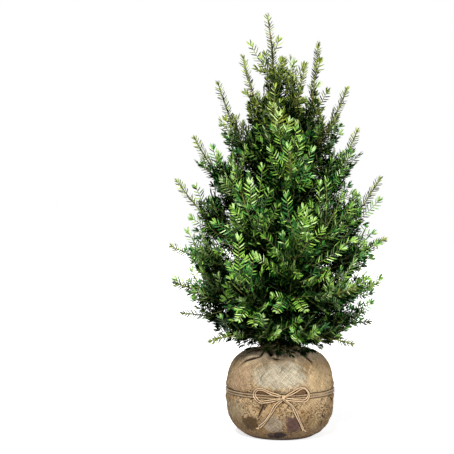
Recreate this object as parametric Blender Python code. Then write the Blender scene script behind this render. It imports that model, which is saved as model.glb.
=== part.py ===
"""A young English yew as sold for a hedge: a root ball wrapped in hessian, tied with two turns of
jute twine and a bow, and a trunk whose limbs carry masses of needled twigs.

Metres, +Z up, seen from -Y. The origin is the centre of the root ball's flat underside.
"""

import math
import random

import bmesh
import bpy
import numpy as np
from mathutils import Matrix, Vector

# Root ball
BALL_RADIUS = 0.150
BALL_WAIST = 0.115  # height of the widest ring
BALL_DROP = 0.126  # from the waist to where the lower curve would close
BALL_RISE = 0.135  # from the waist to where the upper curve would close
LOWER_ROUNDNESS = 2.8
UPPER_ROUNDNESS = 2.9
SOIL_TOP = 0.240  # height of the cut neck, which is ground level for the trunk
PLEATS = 10
PLEAT_DEPTH = 0.0045
BALL_SIDES = 40
COLLAR_TOP = 0.264
COLLAR_INNER = 0.040
COLLAR_OUTER = 0.066

# Twine
TWINE_RADIUS = 0.0021
TWINE_SIDES = 8
TWINE_HEIGHT = 0.128
TWINE_SPACING = 0.0072  # between the middles of the two turns
TWINE_BITE = 0.0025  # how deep the turns press into the ball
GAP = 0.0003

# Trunk
TRUNK_TOP = 0.982
TRUNK_FOOT_RADIUS = 0.0105
TRUNK_TIP_RADIUS = 0.0030
FLARE = 0.0065
FLARE_HEIGHT = 0.018
TRUNK_SWAY = 0.020
TRUNK_LEAN = -0.018
LEADER_TIP = Vector((-0.0355, 0.0, 1.174))

# Limbs and needles
LIMB_FOOT_RADIUS = 0.0048
LIMB_JOIN_RADIUS = 0.0027
STEM_TIP_RADIUS = 0.0011
NEEDLE_LENGTH = 0.030
NEEDLE_PITCH = 0.040  # length of twig that carries two pairs of needles
NEEDLE_ANGLE = math.radians(52)
TWIG_STEP = 0.0125  # along a mass's stem; the finest twigs of the rule
TWIG_THINNING = 8  # one twig in so many is a solid
TWIG_GIRTH = 0.0036  # of a twig with the needles that wrap it
STEM_STEPS = 4  # of the stem within its core
TIP_PITCH = 0.024
SHORTEST_TWIG = 0.030
CORE_SIDES = 7
CORE_RINGS = 4
CORE_LEAST = 0.0036  # the girth that a crowded core keeps
CORE_CLEARANCE = 0.0010
LEADER_GIRTH = 0.016
CORE_SHARES = (0.05, 0.84)  # the stretch of the stem that a core covers
SPACE_MARGIN = 0.0016
GOLDEN_ANGLE = math.radians(137.5)

# Each limb: name, height of its foot on the trunk, compass angle (0 right, 90 back, 180 left, -90 front),
# reach of its tip from the axis, height of its tip, the share of its length that is a bare bough, the
# girth of the core in its mass, and how its twigs lie: in a flat spray, or all round as a plume.
LIMBS = [
    ("right_skirt_front", 0.282, -34, 0.226, 0.268, 0.0, 0.038, "spray"),
    ("right_skirt", 0.286, -4, 0.246, 0.318, 0.0, 0.044, "spray"),
    ("left_skirt_front", 0.284, 216, 0.240, 0.278, 0.0, 0.038, "spray"),
    ("left_skirt", 0.292, 182, 0.272, 0.342, 0.0, 0.046, "spray"),
    ("front_skirt_right", 0.290, -66, 0.222, 0.286, 0.0, 0.038, "spray"),
    ("front_skirt_left", 0.288, -108, 0.226, 0.292, 0.0, 0.040, "spray"),
    ("back_skirt_right", 0.284, 38, 0.240, 0.287, 0.0, 0.040, "spray"),
    ("back_skirt", 0.286, 86, 0.258, 0.300, 0.0, 0.044, "spray"),
    ("back_skirt_left", 0.286, 136, 0.244, 0.292, 0.0, 0.042, "spray"),
    ("right_low", 0.334, 12, 0.288, 0.420, 0.26, 0.054, "spray"),
    ("left_low", 0.328, 192, 0.300, 0.428, 0.26, 0.050, "spray"),
    ("front_fork", 0.307, -80, 0.176, 0.554, 0.36, 0.040, "plume"),
    ("front_left_low", 0.338, -122, 0.262, 0.440, 0.0, 0.056, "plume"),
    ("front_right_low", 0.344, -46, 0.264, 0.422, 0.0, 0.056, "spray"),
    ("back_low_right", 0.342, 58, 0.284, 0.444, 0.26, 0.058, "plume"),
    ("back_low_left", 0.348, 106, 0.286, 0.458, 0.26, 0.058, "plume"),
    ("left_back", 0.354, 148, 0.284, 0.462, 0.0, 0.052, "plume"),
    ("left_wide", 0.402, 174, 0.308, 0.527, 0.26, 0.052, "spray"),
    ("right_wide", 0.406, -10, 0.288, 0.548, 0.26, 0.054, "spray"),
    ("right_high", 0.472, 8, 0.288, 0.720, 0.26, 0.048, "plume"),
    ("left_high", 0.482, 178, 0.290, 0.712, 0.26, 0.050, "plume"),
    ("front_left_high", 0.448, -120, 0.222, 0.672, 0.0, 0.056, "plume"),
    ("front_right_high", 0.462, -54, 0.226, 0.622, 0.0, 0.056, "plume"),
    ("back_high_right", 0.462, 60, 0.244, 0.672, 0.0, 0.060, "plume"),
    ("back_high_left", 0.482, 118, 0.240, 0.702, 0.0, 0.060, "plume"),
    ("right_shoulder", 0.592, -6, 0.214, 0.850, 0.24, 0.042, "plume"),
    ("left_shoulder", 0.582, 184, 0.240, 0.830, 0.24, 0.044, "plume"),
    ("front_crest", 0.572, -80, 0.128, 0.774, 0.0, 0.052, "plume"),
    ("back_shoulder", 0.612, 86, 0.164, 0.852, 0.0, 0.050, "plume"),
    ("front_top", 0.712, -104, 0.084, 0.912, 0.0, 0.036, "plume"),
    ("back_top", 0.742, 100, 0.112, 0.972, 0.0, 0.034, "plume"),
    ("left_crest", 0.682, 172, 0.176, 0.988, 0.0, 0.030, "plume"),
    ("right_leader", 0.622, 22, 0.120, 1.104, 0.30, 0.028, "plume"),
    ("right_crest", 0.722, -22, 0.192, 0.960, 0.0, 0.030, "plume"),
    ("left_top", 0.812, 194, 0.108, 1.056, 0.0, 0.022, "plume"),
    ("right_top", 0.842, -36, 0.082, 1.028, 0.0, 0.018, "plume"),
]


def clear_scene():
    for obj in list(bpy.data.objects):
        bpy.data.objects.remove(obj)


def material(name, colour, roughness):
    made = bpy.data.materials.new(name)
    made.use_nodes = True
    shader = made.node_tree.nodes["Principled BSDF"]
    shader.inputs["Base Color"].default_value = (*colour, 1.0)
    shader.inputs["Roughness"].default_value = roughness
    shader.inputs["Metallic"].default_value = 0.0
    return made


def solid(name, points, faces, finish, smooth_angle=None):
    """One named object from points and faces, its normals made to face out."""
    mesh = bpy.data.meshes.new(name)
    mesh.from_pydata([tuple(p) for p in points], [], faces)
    shape = bmesh.new()
    shape.from_mesh(mesh)
    bmesh.ops.recalc_face_normals(shape, faces=shape.faces)
    shape.to_mesh(mesh)
    shape.free()
    if smooth_angle:
        mesh.shade_smooth()
        mesh.set_sharp_from_angle(angle=smooth_angle)
    mesh.materials.append(finish)
    made = bpy.data.objects.new(name, mesh)
    bpy.context.scene.collection.objects.link(made)
    return made


# Root ball and collar


def ball_radius(z):
    """Radius of the wrapped ball at a height, before its pleats."""
    above = z > BALL_WAIST
    height = BALL_RISE if above else BALL_DROP
    power = UPPER_ROUNDNESS if above else LOWER_ROUNDNESS
    share = min(abs(z - BALL_WAIST) / height, 1.0)
    radius = BALL_RADIUS * (1 - share**power) ** (1 / power)
    press = math.exp(-(((z - TWINE_HEIGHT) / 0.010) ** 2))
    return radius - TWINE_BITE * press


def pleat(angle, z):
    """How far the gathered cloth stands in or out, which fades out towards the waist."""
    gathered = max(0.0, (z - BALL_WAIST) / (SOIL_TOP - BALL_WAIST)) ** 2
    slump = 0.0022 * math.sin(2 * angle + 0.6) + 0.0014 * math.sin(3 * angle - 1.1)
    settled = math.sin(math.pi * min(1.0, z / SOIL_TOP))
    return PLEAT_DEPTH * gathered * math.cos(PLEATS * angle) + slump * settled


def ball_point(angle, z, proud=0.0):
    radius = ball_radius(z) + pleat(angle, z) + proud
    return Vector((radius * math.cos(angle), radius * math.sin(angle), z))


def closed_rings(rings):
    """Faces of a skin through rings of one count of points, with a flat cap on each end."""
    count = len(rings[0])
    faces = [
        (
            k * count + i,
            k * count + (i + 1) % count,
            (k + 1) * count + (i + 1) % count,
            (k + 1) * count + i,
        )
        for k in range(len(rings) - 1)
        for i in range(count)
    ]
    faces.append(tuple(reversed(range(count))))
    faces.append(tuple((len(rings) - 1) * count + i for i in range(count)))
    return faces


def make_root_ball(finish):
    heights = [0.0, 0.006, 0.020, 0.050, 0.090, 0.113]
    heights += [TWINE_HEIGHT - TWINE_SPACING / 2, TWINE_HEIGHT + TWINE_SPACING / 2]
    heights += [0.142, 0.168, 0.196, 0.216, 0.231, SOIL_TOP]
    angles = [2 * math.pi * i / BALL_SIDES for i in range(BALL_SIDES)]
    rings = [[ball_point(a, z) for a in angles] for z in heights]
    points = [p for ring in rings for p in ring]
    return solid("root_ball", points, closed_rings(rings), finish, math.radians(40))


def make_collar(finish):
    """The gathered mouth of the wrapping, a ruffled ring that stands on the ball round the trunk."""
    sides = BALL_SIDES
    low, high = SOIL_TOP + GAP, COLLAR_TOP
    section = [(0.0, 0.0), (0.35, 0.0), (1.0, 0.75), (0.72, 1.0), (0.25, 0.45)]
    points = []
    for i in range(sides):
        angle = 2 * math.pi * i / sides
        ruffle = 0.5 + 0.5 * math.cos(PLEATS * angle)
        lift = 0.72 + 0.28 * math.sin(3 * angle + 0.8)
        for out, up in section:
            spread = COLLAR_OUTER - COLLAR_INNER
            radius = COLLAR_INNER + spread * out * (0.72 + 0.28 * ruffle)
            z = low + (high - low) * up * lift
            points.append((radius * math.cos(angle), radius * math.sin(angle), z))
    count = len(section)
    faces = [
        (
            i * count + k,
            i * count + (k + 1) % count,
            (i + 1) % sides * count + (k + 1) % count,
            (i + 1) % sides * count + k,
        )
        for i in range(sides)
        for k in range(count)
    ]
    return solid("hessian_collar", points, faces, finish, math.radians(40))


# Tubes


def smooth_path(points, count):
    """Evenly numbered points on a Catmull-Rom curve through the given ones."""
    spans = len(points) - 1
    found = []
    for n in range(count):
        at = n * spans / (count - 1)
        k = min(int(at), spans - 1)
        t = at - k
        a, b, c, d = (points[max(0, min(spans, k + i))] for i in (-1, 0, 1, 2))
        bend = (2 * a - 5 * b + 4 * c - d) * t**2 + (3 * b - a - 3 * c + d) * t**3
        found.append(0.5 * (2 * b + (c - a) * t + bend))
    return found


def frames(path, up):
    """(tangent, side, up) at each point of a path, carried along it without twist."""
    found = []
    for i, p in enumerate(path):
        ahead = path[min(i + 1, len(path) - 1)] - path[max(i - 1, 0)]
        tangent = ahead.normalized()
        up = (up - tangent * up.dot(tangent)).normalized()
        found.append((tangent, tangent.cross(up), up))
    return found


def ring_round(p, radius, sides, frame, foot_normal=None):
    """Points round a path at one place. A foot normal mitres them to the wall that they stand against."""
    tangent, side, top = frame
    found = []
    for k in range(sides):
        turn = 2 * math.pi * k / sides
        offset = radius * (math.cos(turn) * top + math.sin(turn) * side)
        if foot_normal:
            offset -= tangent * offset.dot(foot_normal) / tangent.dot(foot_normal)
        found.append(p + offset)
    return found


def tube(path, radii, sides, up=Vector((0, 0, 1)), foot_normal=None):
    """(points, faces) of a closed tube, its first ring mitred where a foot normal is given."""
    points = []
    for i, (p, radius, frame) in enumerate(zip(path, radii, frames(path, up))):
        points += ring_round(p, radius, sides, frame, foot_normal if i == 0 else None)
    rings = [range(i * sides, (i + 1) * sides) for i in range(len(path))]
    return points, closed_rings(rings)


def make_tube(name, path, radii, sides, finish, **options):
    points, faces = tube(path, radii, sides, **options)
    return solid(name, points, faces, finish, math.radians(50))


# Twine


def make_turn(name, height, finish):
    """One turn of twine, pressed into the ball, its two turns drawn together at the back."""
    around, sides = BALL_SIDES, TWINE_SIDES
    points = []
    for i in range(around):
        angle = 2 * math.pi * i / around
        front = 0.5 - 0.5 * math.sin(angle)
        z = TWINE_HEIGHT + (height - TWINE_HEIGHT) * (0.80 + 0.20 * front)
        middle = ball_point(angle, z, TWINE_RADIUS + 2 * GAP)
        out = Vector((math.cos(angle), math.sin(angle), 0))
        for k in range(sides):
            turn = 2 * math.pi * k / sides
            offset = out * math.cos(turn) + Vector((0, 0, 1)) * math.sin(turn)
            points.append(middle + offset * TWINE_RADIUS)
    faces = [
        (
            i * sides + k,
            i * sides + (k + 1) % sides,
            (i + 1) % around * sides + (k + 1) % sides,
            (i + 1) % around * sides + k,
        )
        for i in range(around)
        for k in range(sides)
    ]
    return solid(name, points, faces, finish, math.radians(70))


def on_ball_front(x, z, proud):
    """A point that lies on the front of the ball, a little proud of its cloth."""
    radius = ball_radius(z) + proud
    angle = -math.acos(max(-1.0, min(1.0, x / radius)))
    return ball_point(angle, z, proud)


# Bow: the route of each strand as (across, up from the knot, height over the cloth), in millimetres
LEFT_LOOP = [(-7, 3, 8.8), (-33, 11, 9), (-56, 20, 7), (-70, 18, 6.5), (-77, 6, 6.8)]
LEFT_LOOP += [(-72, -6, 6.8), (-60, -14, 6), (-36, -10, 7), (-7, -4, 8.8)]
RIGHT_LOOP = [(7, 3, 8.8), (28, 14, 9), (48, 23, 7), (61, 22, 6.5), (73, 10, 6.6)]
RIGHT_LOOP += [(74, -1, 7.3), (62, -10, 6.6), (40, -9, 7), (7, -4, 8.8)]
LEFT_TAIL = [(-3.6, -7.2, 7), (-20, -22, 3), (-33, -44, 2.8), (-47, -66, 2.8), (-63, -84, 3.6)]
RIGHT_TAIL = [(3.6, -7.2, 7), (24, -24, 3), (34, -42, 2.8), (45, -64, 2.8), (60, -91, 3.6)]


def make_strand(name, route, count, finish):
    mm = 0.001
    ends = [
        on_ball_front(across * mm, TWINE_HEIGHT + up * mm, proud * mm)
        for across, up, proud in route
    ]
    path = smooth_path(ends, count)
    swell = 1.7 if "tail" in name else 1.0
    radii = [TWINE_RADIUS] * (count - 1) + [TWINE_RADIUS * swell]
    return make_tube(name, path, radii, TWINE_SIDES, finish, up=Vector((0, -1, 0)))


def make_knot(finish):
    centre = on_ball_front(0.0, TWINE_HEIGHT - 0.001, 0.0092)
    shape = bmesh.new()
    place = Matrix.Translation(centre) @ Matrix.Diagonal((1.0, 0.55, 0.85, 1.0))
    bmesh.ops.create_icosphere(shape, subdivisions=2, radius=0.0072, matrix=place)
    mesh = bpy.data.meshes.new("bow_knot")
    shape.to_mesh(mesh)
    shape.free()
    mesh.shade_smooth()
    mesh.materials.append(finish)
    made = bpy.data.objects.new("bow_knot", mesh)
    bpy.context.scene.collection.objects.link(made)
    return made


# Trunk and limbs


def trunk_point(z):
    share = (z - SOIL_TOP) / (TRUNK_TOP - SOIL_TOP)
    x = TRUNK_LEAN * share + TRUNK_SWAY * math.sin(math.pi * share)
    y = 0.006 * math.sin(2 * math.pi * share)
    return Vector((x, y, z))


def trunk_radius(z):
    share = (z - SOIL_TOP) / (TRUNK_TOP - SOIL_TOP)
    taper = TRUNK_FOOT_RADIUS + (TRUNK_TIP_RADIUS - TRUNK_FOOT_RADIUS) * share**0.9
    return taper + FLARE * math.exp(-(z - SOIL_TOP) / FLARE_HEIGHT)


def bark_normal(z, compass):
    """The direction that the bark faces at a height, on the side of a compass angle."""
    step = 0.002
    axis = (trunk_point(z + step) - trunk_point(z - step)).normalized()
    out = Vector((math.cos(math.radians(compass)), math.sin(math.radians(compass)), 0))
    out = (out - axis * out.dot(axis)).normalized()
    widening = (trunk_radius(z + step) - trunk_radius(z - step)) / (2 * step)
    return (out - axis * widening).normalized()


def make_trunk(finish):
    low = SOIL_TOP + GAP
    heights = [low, low + 0.010, low + 0.024, low + 0.050]
    heights += [low + 0.050 + (TRUNK_TOP - low - 0.050) * i / 14 for i in range(1, 15)]
    path = [trunk_point(z) for z in heights]
    path[0].z = low
    radii = [trunk_radius(z) for z in heights]
    level = Vector((0, 0, -1))
    return make_tube("trunk", path, radii, 10, finish, up=Vector((0, 1, 0)), foot_normal=level)


def limb_curve(limb):
    """The middle line of a limb from the trunk's bark to its tip, as 25 points."""
    name, foot, compass, reach, height, share, girth, lie = limb
    angle = math.radians(compass)
    out = Vector((math.cos(angle), math.sin(angle), 0))
    start = trunk_point(foot) + bark_normal(foot, compass) * (trunk_radius(foot) + GAP)
    tip = Vector((reach * out.x, reach * out.y, height))
    rise = tip.z - start.z
    along = tip - start
    along.z = 0
    bend = start + along * 0.62
    bend.z += rise * (0.22 if lie == "plume" else 0.50) + 0.012
    return [
        (1 - t) ** 2 * start + 2 * t * (1 - t) * bend + t**2 * tip
        for t in [i / 24 for i in range(25)]
    ]


def leader_curve():
    start = trunk_point(TRUNK_TOP) + Vector((0, 0, GAP))
    bow = Vector((0.004, 0.0, 0.0))
    return [
        start.lerp(LEADER_TIP, i / 12) + bow * math.sin(math.pi * i / 12)
        for i in range(13)
    ]


def at_share(path, share):
    """The point at a share of a path's length, by its evenly numbered points."""
    at = share * (len(path) - 1)
    k = min(int(at), len(path) - 2)
    return path[k].lerp(path[k + 1], at - k)


def part_of_path(path, low, high, count):
    return [at_share(path, low + (high - low) * i / (count - 1)) for i in range(count)]


def length_of(path):
    return sum((b - a).length for a, b in zip(path, path[1:]))


# Growing rule


def grow_twigs(name, stem, lie):
    """Every twig that leaves a stem, as (number, path, up). Each draws its own numbers from its name."""
    length = length_of(stem)
    count = max(4, int(length / TWIG_STEP))
    longest = min(0.115, 0.30 * length + 0.030)
    found = []
    for i in range(count):
        draw = random.Random(f"{name} twig {i}")
        share = 0.06 + 0.88 * (i + 0.5) / count
        foot = at_share(stem, share)
        tangent = (at_share(stem, share + 0.02) - at_share(stem, share - 0.02)).normalized()
        up = Vector((0, 0, 1))
        up = (up - tangent * up.dot(tangent)).normalized()
        side = tangent.cross(up)
        if lie == "spray":
            turn = math.radians(90 if i % 2 else -90) + draw.uniform(-0.5, 0.5)
        else:
            turn = GOLDEN_ANGLE * i + draw.uniform(-0.3, 0.3)
        away = up * math.cos(turn) + side * math.sin(turn)
        lean = math.radians(draw.uniform(38, 54))
        heading = tangent * math.cos(lean) + away * math.sin(lean)
        reach = longest * (1 - 0.62 * share) * draw.uniform(0.80, 1.08)
        lift = Vector((0, 0, 1)) * reach * (0.10 if lie == "spray" else 0.22)
        path = [
            foot + heading * reach * t + (tangent * 0.16 * reach + lift) * t**2
            for t in (0, 0.25, 0.5, 0.75, 1.0)
        ]
        found.append((i, path, away.cross(tangent) if lie == "spray" else up))
    return found


class Crown:
    """The middle lines of every limb, which say whose space a point lies in."""

    def __init__(self):
        self.lines = []

    def add(self, owner, path, girth=0.0):
        """A mass's stem under its own name, or the trunk or a bough under the name "wood"."""
        self.lines += [(owner, a, b - a, girth) for a, b in zip(path, path[1:])]

    def ready(self):
        self.starts = np.array([line[1] for line in self.lines])
        self.spans = np.array([line[2] for line in self.lines])
        self.girths = np.array([line[3] for line in self.lines])
        self.squares = (self.spans**2).sum(1)
        owners = np.array([line[0] for line in self.lines])
        self.own = {name: owners == name for name in set(owners)}

    def is_free(self, name, point, reach=0.0):
        """True where a point is nearer to its own stem than to any other, and off every limb."""
        offset = np.array(point) - self.starts
        share = np.clip((offset * self.spans).sum(1) / self.squares, 0.0, 1.0)
        distance = np.linalg.norm(offset - share[:, None] * self.spans, axis=1) - self.girths
        own, wood = self.own[name], self.own["wood"]
        if distance[wood].min() < reach + SPACE_MARGIN:
            return False
        if distance[~own & ~wood].min() < distance[own].min() + reach + SPACE_MARGIN:
            return False
        return off_the_ball(point)


def off_the_ball(point):
    """True where a point is clear of the root ball and its collar."""
    out = math.hypot(point.x, point.y)
    if point.z < COLLAR_TOP + 0.002 and out < COLLAR_OUTER + 0.004:
        return False
    return point.z > SOIL_TOP or out > ball_radius(max(point.z, 0.0)) + 0.008


def needled_twig(path, radii, up, may_stand, bare_share=0.0, foot_normal=None):
    """(points, faces) of a three-sided twig whose two upper sides carry pairs of needles as thin spikes."""
    sides = 3
    points = []
    marks = frames(path, up)
    for i, (p, radius, frame) in enumerate(zip(path, radii, marks)):
        points += ring_round(p, radius, sides, frame, foot_normal if i == 0 else None)
    tip = len(points)
    points.append(path[-1] + marks[-1][0] * 0.006)
    faces = [(2, 1, 0)]
    last = len(path) - 1
    for j in range(last):
        tangent, side, top = marks[j]
        for k in range(sides):
            a, b = j * sides + k, j * sides + (k + 1) % sides
            c, d = b + sides, a + sides
            across = {0: side, 1: None, 2: -side}[k]
            for corners in ((a, b, c), (a, c, d)):
                middle = sum((points[i] for i in corners), Vector()) / 3
                share = (j + 0.5) / last
                if across is None or share < bare_share:
                    faces.append(corners)
                    continue
                size = NEEDLE_LENGTH * (0.62 + 0.38 * math.sin(math.pi * min(1, share + 0.1)))
                away = (across + top * 0.26).normalized()
                heading = tangent * math.cos(NEEDLE_ANGLE) + away * math.sin(NEEDLE_ANGLE)
                end = middle + heading * size
                if not (may_stand(end) and may_stand(middle.lerp(end, 0.5))):
                    faces.append(corners)
                    continue
                points.append(end)
                apex = len(points) - 1
                faces += [(corners[i], corners[(i + 1) % 3], apex) for i in range(3)]
    faces += [(last * sides + k, last * sides + (k + 1) % sides, tip) for k in range(sides)]
    return points, faces


def core_faces():
    """Triangles of a core: a fan on its first point, bands between its rings, a fan on its last point."""
    sides = CORE_SIDES
    last = 1 + CORE_RINGS * sides
    faces = [(0, 1 + (k + 1) % sides, 1 + k) for k in range(sides)]
    for j in range(CORE_RINGS - 1):
        for k in range(sides):
            a, b = 1 + j * sides + k, 1 + j * sides + (k + 1) % sides
            halves = [(a, b, b + sides), (a, b + sides, a + sides)]
            faces += halves if (j + k) % 2 else reversed(halves)
    ring = last - sides
    faces += [(ring + k, ring + (k + 1) % sides, last) for k in range(sides)]
    return faces


def core_points(stem, girth, lie):
    """(points, middles) of a core before it gives way to its neighbours."""
    path = part_of_path(stem, *CORE_SHARES, CORE_RINGS + 2)
    flat = 0.74 if lie == "spray" else 0.90
    points, middles = [path[0]], [path[0]]
    for j, (tangent, side, top) in list(enumerate(frames(path, Vector((0, 0, 1)))))[1:-1]:
        swell = girth * math.sin(math.pi * (0.16 + 0.74 * j / (CORE_RINGS + 1))) ** 0.8
        for k in range(CORE_SIDES):
            turn = 2 * math.pi * (k + 0.5 * (j % 2)) / CORE_SIDES
            away = math.cos(turn) * top * flat + math.sin(turn) * side
            points.append(path[j] + away * swell * (0.84 if (k + j) % 2 else 1.0))
            middles.append(path[j])
    return points + [path[-1]], middles + [path[-1]]


def draw_in(name, points, middles, faces, crown):
    """Shrinks a core wherever one of its faces leaves the mass's own space."""
    for _ in range(18):
        crowded = set()
        for face in faces:
            a, b, c = (points[i] for i in face)
            tests = [(a + b + c) / 3, (a + b) / 2, (b + c) / 2, (a + c) / 2, a, b, c]
            if not all(crown.is_free(name, test, CORE_CLEARANCE) for test in tests):
                crowded |= set(face)
        for i in crowded:
            away = points[i] - middles[i]
            if away.length > CORE_LEAST:
                points[i] = middles[i] + away * max(0.88, CORE_LEAST / away.length)


def core_of(name, stem, girth, lie, crown):
    """A spindle with needles standing out of it, which fills the middle of a mass's own space."""
    points, middles = core_points(stem, girth, lie)
    skin = core_faces()
    draw_in(name, points, middles, skin, crown)
    heading = (points[-1] - points[0]).normalized() * 0.65
    faces = []
    for n, face in enumerate(skin):
        middle = sum((points[i] for i in face), Vector()) / 3
        away = (middle - middles[face[0]]).normalized() * 0.75
        end = middle + (away + heading) * NEEDLE_LENGTH
        tests = (end, middle.lerp(end, 0.5))
        if n % 2 and n >= CORE_SIDES and all(crown.is_free(name, test) for test in tests):
            points.append(end)
            spike = len(points) - 1
            faces += [(face[i], face[(i + 1) % 3], spike) for i in range(3)]
        else:
            faces.append(face)
    return points, faces


def fuse(base, others):
    """Joins the others to the base with one Boolean union, applies it and removes them."""
    group = bpy.data.collections.new(base.name + "_parts")
    bpy.context.scene.collection.children.link(group)
    for other in others:
        bpy.context.scene.collection.objects.unlink(other)
        group.objects.link(other)
    join = base.modifiers.new("join", "BOOLEAN")
    join.operation = "UNION"
    join.operand_type = "COLLECTION"
    join.collection = group
    join.solver = "MANIFOLD"
    bpy.context.view_layer.update()
    graph = bpy.context.evaluated_depsgraph_get()
    fused = bpy.data.meshes.new_from_object(base.evaluated_get(graph))
    base.modifiers.clear()
    base.data = fused
    for other in others:
        bpy.data.objects.remove(other)
    bpy.data.collections.remove(group)


def largest_piece(obj):
    """Drops loose scraps, keeping the piece with the most faces."""
    shape = bmesh.new()
    shape.from_mesh(obj.data)
    left = set(shape.verts)
    pieces = []
    while left:
        seen, edge = set(), [next(iter(left))]
        while edge:
            vert = edge.pop()
            if vert in seen:
                continue
            seen.add(vert)
            edge += [e.other_vert(vert) for e in vert.link_edges]
        pieces.append(seen)
        left -= seen
    pieces.sort(key=len)
    for scrap in pieces[:-1]:
        bmesh.ops.delete(shape, geom=list(scrap), context="VERTS")
    shape.to_mesh(obj.data)
    shape.free()


def trimmed(path, may_stand):
    """The longest first part of a path of which every point may stand, or None where too little is left."""
    share = 1.0
    while share > 0.3:
        part = part_of_path(path, 0.0, share, 6)
        if all(may_stand(p) for p in part[1:]):
            return part if length_of(part) > SHORTEST_TWIG else None
        share -= 0.1
    return None


def make_mass(name, stem, girth, lie, foot_normal, crown, finish):
    """One mass of foliage: a stem with needles past its core and the twigs that leave it, fused."""

    def may_stand(point):
        return crown.is_free(name, point)

    covered = CORE_SHARES[1]
    beyond = max(2, round(length_of(stem) * (1 - covered) / TIP_PITCH))
    shares = [covered * i / STEM_STEPS for i in range(STEM_STEPS)]
    shares += [covered + (1 - covered) * i / beyond for i in range(beyond + 1)]
    path = [at_share(stem, share) for share in shares]
    radii = [LIMB_JOIN_RADIUS + (STEM_TIP_RADIUS - LIMB_JOIN_RADIUS) * share for share in shares]
    bare = STEM_STEPS / (len(path) - 1)
    upright = Vector((0, 0, 1))
    points, faces = needled_twig(path, radii, upright, may_stand, bare, foot_normal)
    whole = solid(name, points, faces, finish)
    others = []
    for i, twig, up in grow_twigs(name, stem, lie):
        if i % TWIG_THINNING:
            continue
        twig = trimmed(twig, may_stand)
        if not twig:
            continue
        count = max(2, round(length_of(twig) / NEEDLE_PITCH)) + 1
        way = part_of_path(twig, 0.0, 1.0, count)
        thin = [
            0.0012 + TWIG_GIRTH * math.sin(math.pi * (0.1 + 0.85 * k / (count - 1)))
            for k in range(count)
        ]
        points, faces = needled_twig(way, thin, up, may_stand, 0.35)
        others.append(solid(f"{name}_twig_{i}", points, faces, finish))
    points, faces = core_of(name, stem, girth, lie, crown)
    others.append(solid(f"{name}_core", points, faces, finish))
    fuse(whole, others)
    largest_piece(whole)
    return whole


def make_plant():
    clear_scene()
    hessian = material("hessian", (0.42, 0.33, 0.21), 0.95)
    jute = material("jute twine", (0.50, 0.36, 0.20), 0.90)
    bark = material("yew bark", (0.20, 0.10, 0.06), 0.85)
    green = material("yew needles", (0.07, 0.16, 0.04), 0.50)

    make_root_ball(hessian)
    make_collar(hessian)
    make_turn("twine_turn_upper", TWINE_HEIGHT + TWINE_SPACING / 2, jute)
    make_turn("twine_turn_lower", TWINE_HEIGHT - TWINE_SPACING / 2, jute)
    make_knot(jute)
    make_strand("bow_loop_left", LEFT_LOOP, 18, jute)
    make_strand("bow_loop_right", RIGHT_LOOP, 18, jute)
    make_strand("bow_tail_left", LEFT_TAIL, 9, jute)
    make_strand("bow_tail_right", RIGHT_TAIL, 9, jute)
    make_trunk(bark)

    crown = Crown()
    heights = [SOIL_TOP + (TRUNK_TOP - SOIL_TOP) * i / 10 for i in range(11)]
    for low, high in zip(heights, heights[1:]):
        crown.add("wood", [trunk_point(low), trunk_point(high)], trunk_radius(low))
    masses = [("leader", leader_curve(), LEADER_GIRTH, "plume", None)]
    crown.add("leader", part_of_path(masses[0][1], 0.0, 1.0, 7))
    for limb in LIMBS:
        name, foot, compass, reach, height, share, girth, lie = limb
        curve = limb_curve(limb)
        normal = bark_normal(foot, compass)
        if share:
            bough = part_of_path(curve, 0.0, share, 6)
            radii = [
                LIMB_FOOT_RADIUS + (LIMB_JOIN_RADIUS - LIMB_FOOT_RADIUS) * i / 5
                for i in range(6)
            ]
            make_tube(f"bough_{name}", bough, radii, 6, bark, foot_normal=normal)
            crown.add("wood", bough, max(radii))
        gap = GAP / length_of(curve)
        stem = part_of_path(curve, share + gap if share else 0.0, 1.0, 25)
        masses.append((name, stem, girth, lie, None if share else normal))
        crown.add(name, part_of_path(stem, 0.0, 1.0, 7))
    crown.ready()
    for name, stem, girth, lie, normal in masses:
        make_mass(name, stem, girth, lie, normal, crown, green)


make_plant()
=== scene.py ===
import math
import random

import bpy
import numpy as np
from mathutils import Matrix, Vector, noise


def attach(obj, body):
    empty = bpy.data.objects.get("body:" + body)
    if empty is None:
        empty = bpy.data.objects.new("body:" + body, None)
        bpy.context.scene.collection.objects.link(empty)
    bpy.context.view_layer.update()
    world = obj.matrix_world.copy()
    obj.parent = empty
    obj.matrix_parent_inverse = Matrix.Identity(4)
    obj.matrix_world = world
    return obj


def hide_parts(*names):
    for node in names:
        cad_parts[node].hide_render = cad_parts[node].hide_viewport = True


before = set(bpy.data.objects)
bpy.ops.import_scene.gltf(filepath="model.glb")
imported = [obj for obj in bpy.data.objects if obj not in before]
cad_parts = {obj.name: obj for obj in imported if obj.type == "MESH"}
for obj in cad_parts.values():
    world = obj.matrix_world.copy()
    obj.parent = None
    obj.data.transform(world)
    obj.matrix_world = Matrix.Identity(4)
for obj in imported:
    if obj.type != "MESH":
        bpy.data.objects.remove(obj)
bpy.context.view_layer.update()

# The studio: a pale floor under an even pale sky, lit by one soft lamp high on the left in front and a
# weaker, broader one low on the right. The camera stands level at half the plant's height, a little to
# its left. What it sees of the floor glows a little, as a light table does, so shadows there stay pale.

CAMERA_PLACE = (-0.150, -2.94, 0.583)
LENS, SENSOR_WIDTH = 82.8, 36.0  # millimetres
SKY_LIGHT = 0.16
FLOOR_REACH = 30  # metres, half the length of a side
FLOOR_COLOUR = (0.95, 0.95, 0.94, 1.0)
FLOOR_ROUGHNESS = 0.9
FLOOR_GLOW = 0.75
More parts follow.
